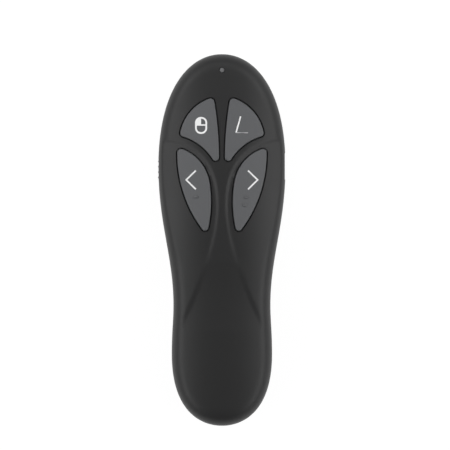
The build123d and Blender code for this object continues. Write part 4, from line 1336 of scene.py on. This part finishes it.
@dataclass
class Studio:
    """Camera straight above, pale floor, side strips and a dim sky.

    The view is given in picture elements, pixel and plane in millimetres, and the rest in metres.
    """

    picture: float = 450.0
    pixel: float = 0.35
    axis_px: float = 221.94
    middle_px: float = 239.9
    distance: float = 2.5
    plane: float = 12.0
    sensor: float = 36.0
    view_end: float = 50.0
    floor_half: float = 8.0
    floor_drop: float = 0.0002
    floor_tone: float = 0.9
    floor_roughness: float = 0.9
    floor_specular: float = 0.1
    floor_share: float = 0.9
    floor_glow: float = 1.05
    world_strength: float = 0.15
    lamps: tuple = (
        Lamp("strip_left", (-0.52, 0.03, 0.36), (1.1, 0.34), 3.8),
        Lamp("strip_right", (0.52, 0.03, 0.36), (1.1, 0.34), 3.8),
        Lamp("front", (0.0, 0.62, 0.46), (0.8, 0.3), 1.35),
        Lamp("overhead", (0.0, 0.35, 1.1), (0.7, 0.5), 0.3),
    )

    def build(self) -> None:
        """Sets up camera, lamps, world and floor."""
        scene = bpy.context.scene
        scene.view_settings.view_transform = "Standard"
        data = bpy.data.cameras.new("camera")
        data.sensor_width = self.sensor
        width = self.picture * self.pixel * MM
        data.lens = self.sensor * self.distance / width
        data.clip_end = self.view_end
        camera = bpy.data.objects.new("camera", data)
        camera.location = ((self.picture / 2 - self.axis_px) * self.pixel * MM,
                           (self.middle_px - self.picture / 2) * self.pixel * MM,
                           self.plane * MM + self.distance)
        scene.collection.objects.link(camera)
        scene.camera = camera
        for lamp in self.lamps:
            lamp.build()
        self.world()
        self.floor()
        log.info("studio: camera, %d lamps, floor", len(self.lamps))

    def world(self) -> None:
        """Plain pale sky."""
        world = bpy.data.worlds.new("sky")
        world.use_nodes = True
        ground = world.node_tree.nodes["Background"]
        ground.inputs["Color"].default_value = (1, 1, 1, 1)
        ground.inputs["Strength"].default_value = self.world_strength
        bpy.context.scene.world = world

    def floor(self) -> None:
        """Pale floor that looks white to the camera and keeps the object's shadow."""
        reach = self.floor_half
        mesh = bpy.data.meshes.new("floor")
        mesh.from_pydata([(-reach, -reach, 0), (reach, -reach, 0), (reach, reach, 0), (-reach, reach, 0)],
                         [], [(0, 1, 2, 3)])
        floor = bpy.data.objects.new("floor", mesh)
        floor.location.z = -self.floor_drop
        bpy.context.scene.collection.objects.link(floor)
        material = bpy.data.materials.new("floor_white")
        material.use_nodes = True
        nodes = Nodes(material.node_tree)
        shader = material.node_tree.nodes["Principled BSDF"]
        shader.inputs["Base Color"].default_value = (self.floor_tone, self.floor_tone, self.floor_tone, 1)
        shader.inputs["Roughness"].default_value = self.floor_roughness
        shader.inputs["Specular IOR Level"].default_value = self.floor_specular
        light = nodes.add("ShaderNodeEmission")
        path = nodes.add("ShaderNodeLightPath")
        seen = nodes.math("MAXIMUM", path.outputs["Is Camera Ray"], path.outputs["Is Glossy Ray"])
        seen = nodes.math("MAXIMUM", seen, path.outputs["Is Transmission Ray"])
        light.inputs["Strength"].default_value = self.floor_glow
        share = nodes.math("MULTIPLY", seen, self.floor_share)
        mix = nodes.add("ShaderNodeMixShader")
        nodes.link(share, mix.inputs[0])
        nodes.link(shader.outputs[0], mix.inputs[1])
        nodes.link(light.outputs[0], mix.inputs[2])
        nodes.link(mix.outputs[0], material.node_tree.nodes["Material Output"].inputs["Surface"])
        mesh.materials.append(material)


def main() -> None:
    """Builds the studio and every sub-assembly."""
    logging.basicConfig(level=logging.INFO, format="%(name)s: %(message)s")
    Studio().build()
    finishes = Finishes()
    log.info("finishes: %d", len(finishes.made))
    skin = TopCover().build(finishes)
    log.info("top cover skin: %d faces", len(skin.data.polygons))
    KeyPad().build(finishes)
    CaseScrews().build(finishes)
    Dressed("bottom case", {
        "bottom_cover": "soft_touch_black", "battery_door": "soft_touch_black",
    }, 25).build(finishes)
    Dressed("side controls", {
        "side_key": "side_rubber", "side_switch": "switch_plastic", "side_plunger": "plunger_plastic",
        "power_slide": "side_rubber", "slide_switch": "tinned_steel", "slide_actuator": "plunger_plastic",
    }).build(finishes)
    Dressed("electronics", {
        "main_board": "solder_mask", "radio_chip": "chip_epoxy", "crystal": "tinned_steel",
        "aerial": "ceramic", "signal_led": "ceramic", "light_pipe": "frosted_light",
        "board_screws": "tinned_steel",
    }).build(finishes)
    Dressed("laser", {
        "laser_barrel": "turned_brass", "laser_diode": "tinned_steel", "laser_lens": "clear_lens",
        "laser_window": "tinted_window",
    }).build(finishes)
    Dressed("power", {
        "cell_left": "cell_sleeve", "cell_right": "cell_sleeve", "plate_positive": "nickel_spring",
        "plate_negative": "nickel_spring", "plate_bridge": "nickel_spring", "spring_front": "nickel_spring",
        "spring_tail": "nickel_spring",
    }, 40).build(finishes)
    Dressed("receiver", {
        "receiver_head": "spark_black", "receiver_plug": "plug_steel", "receiver_tongue": "ceramic",
    }).build(finishes)


if __name__ == "__main__":
    main()
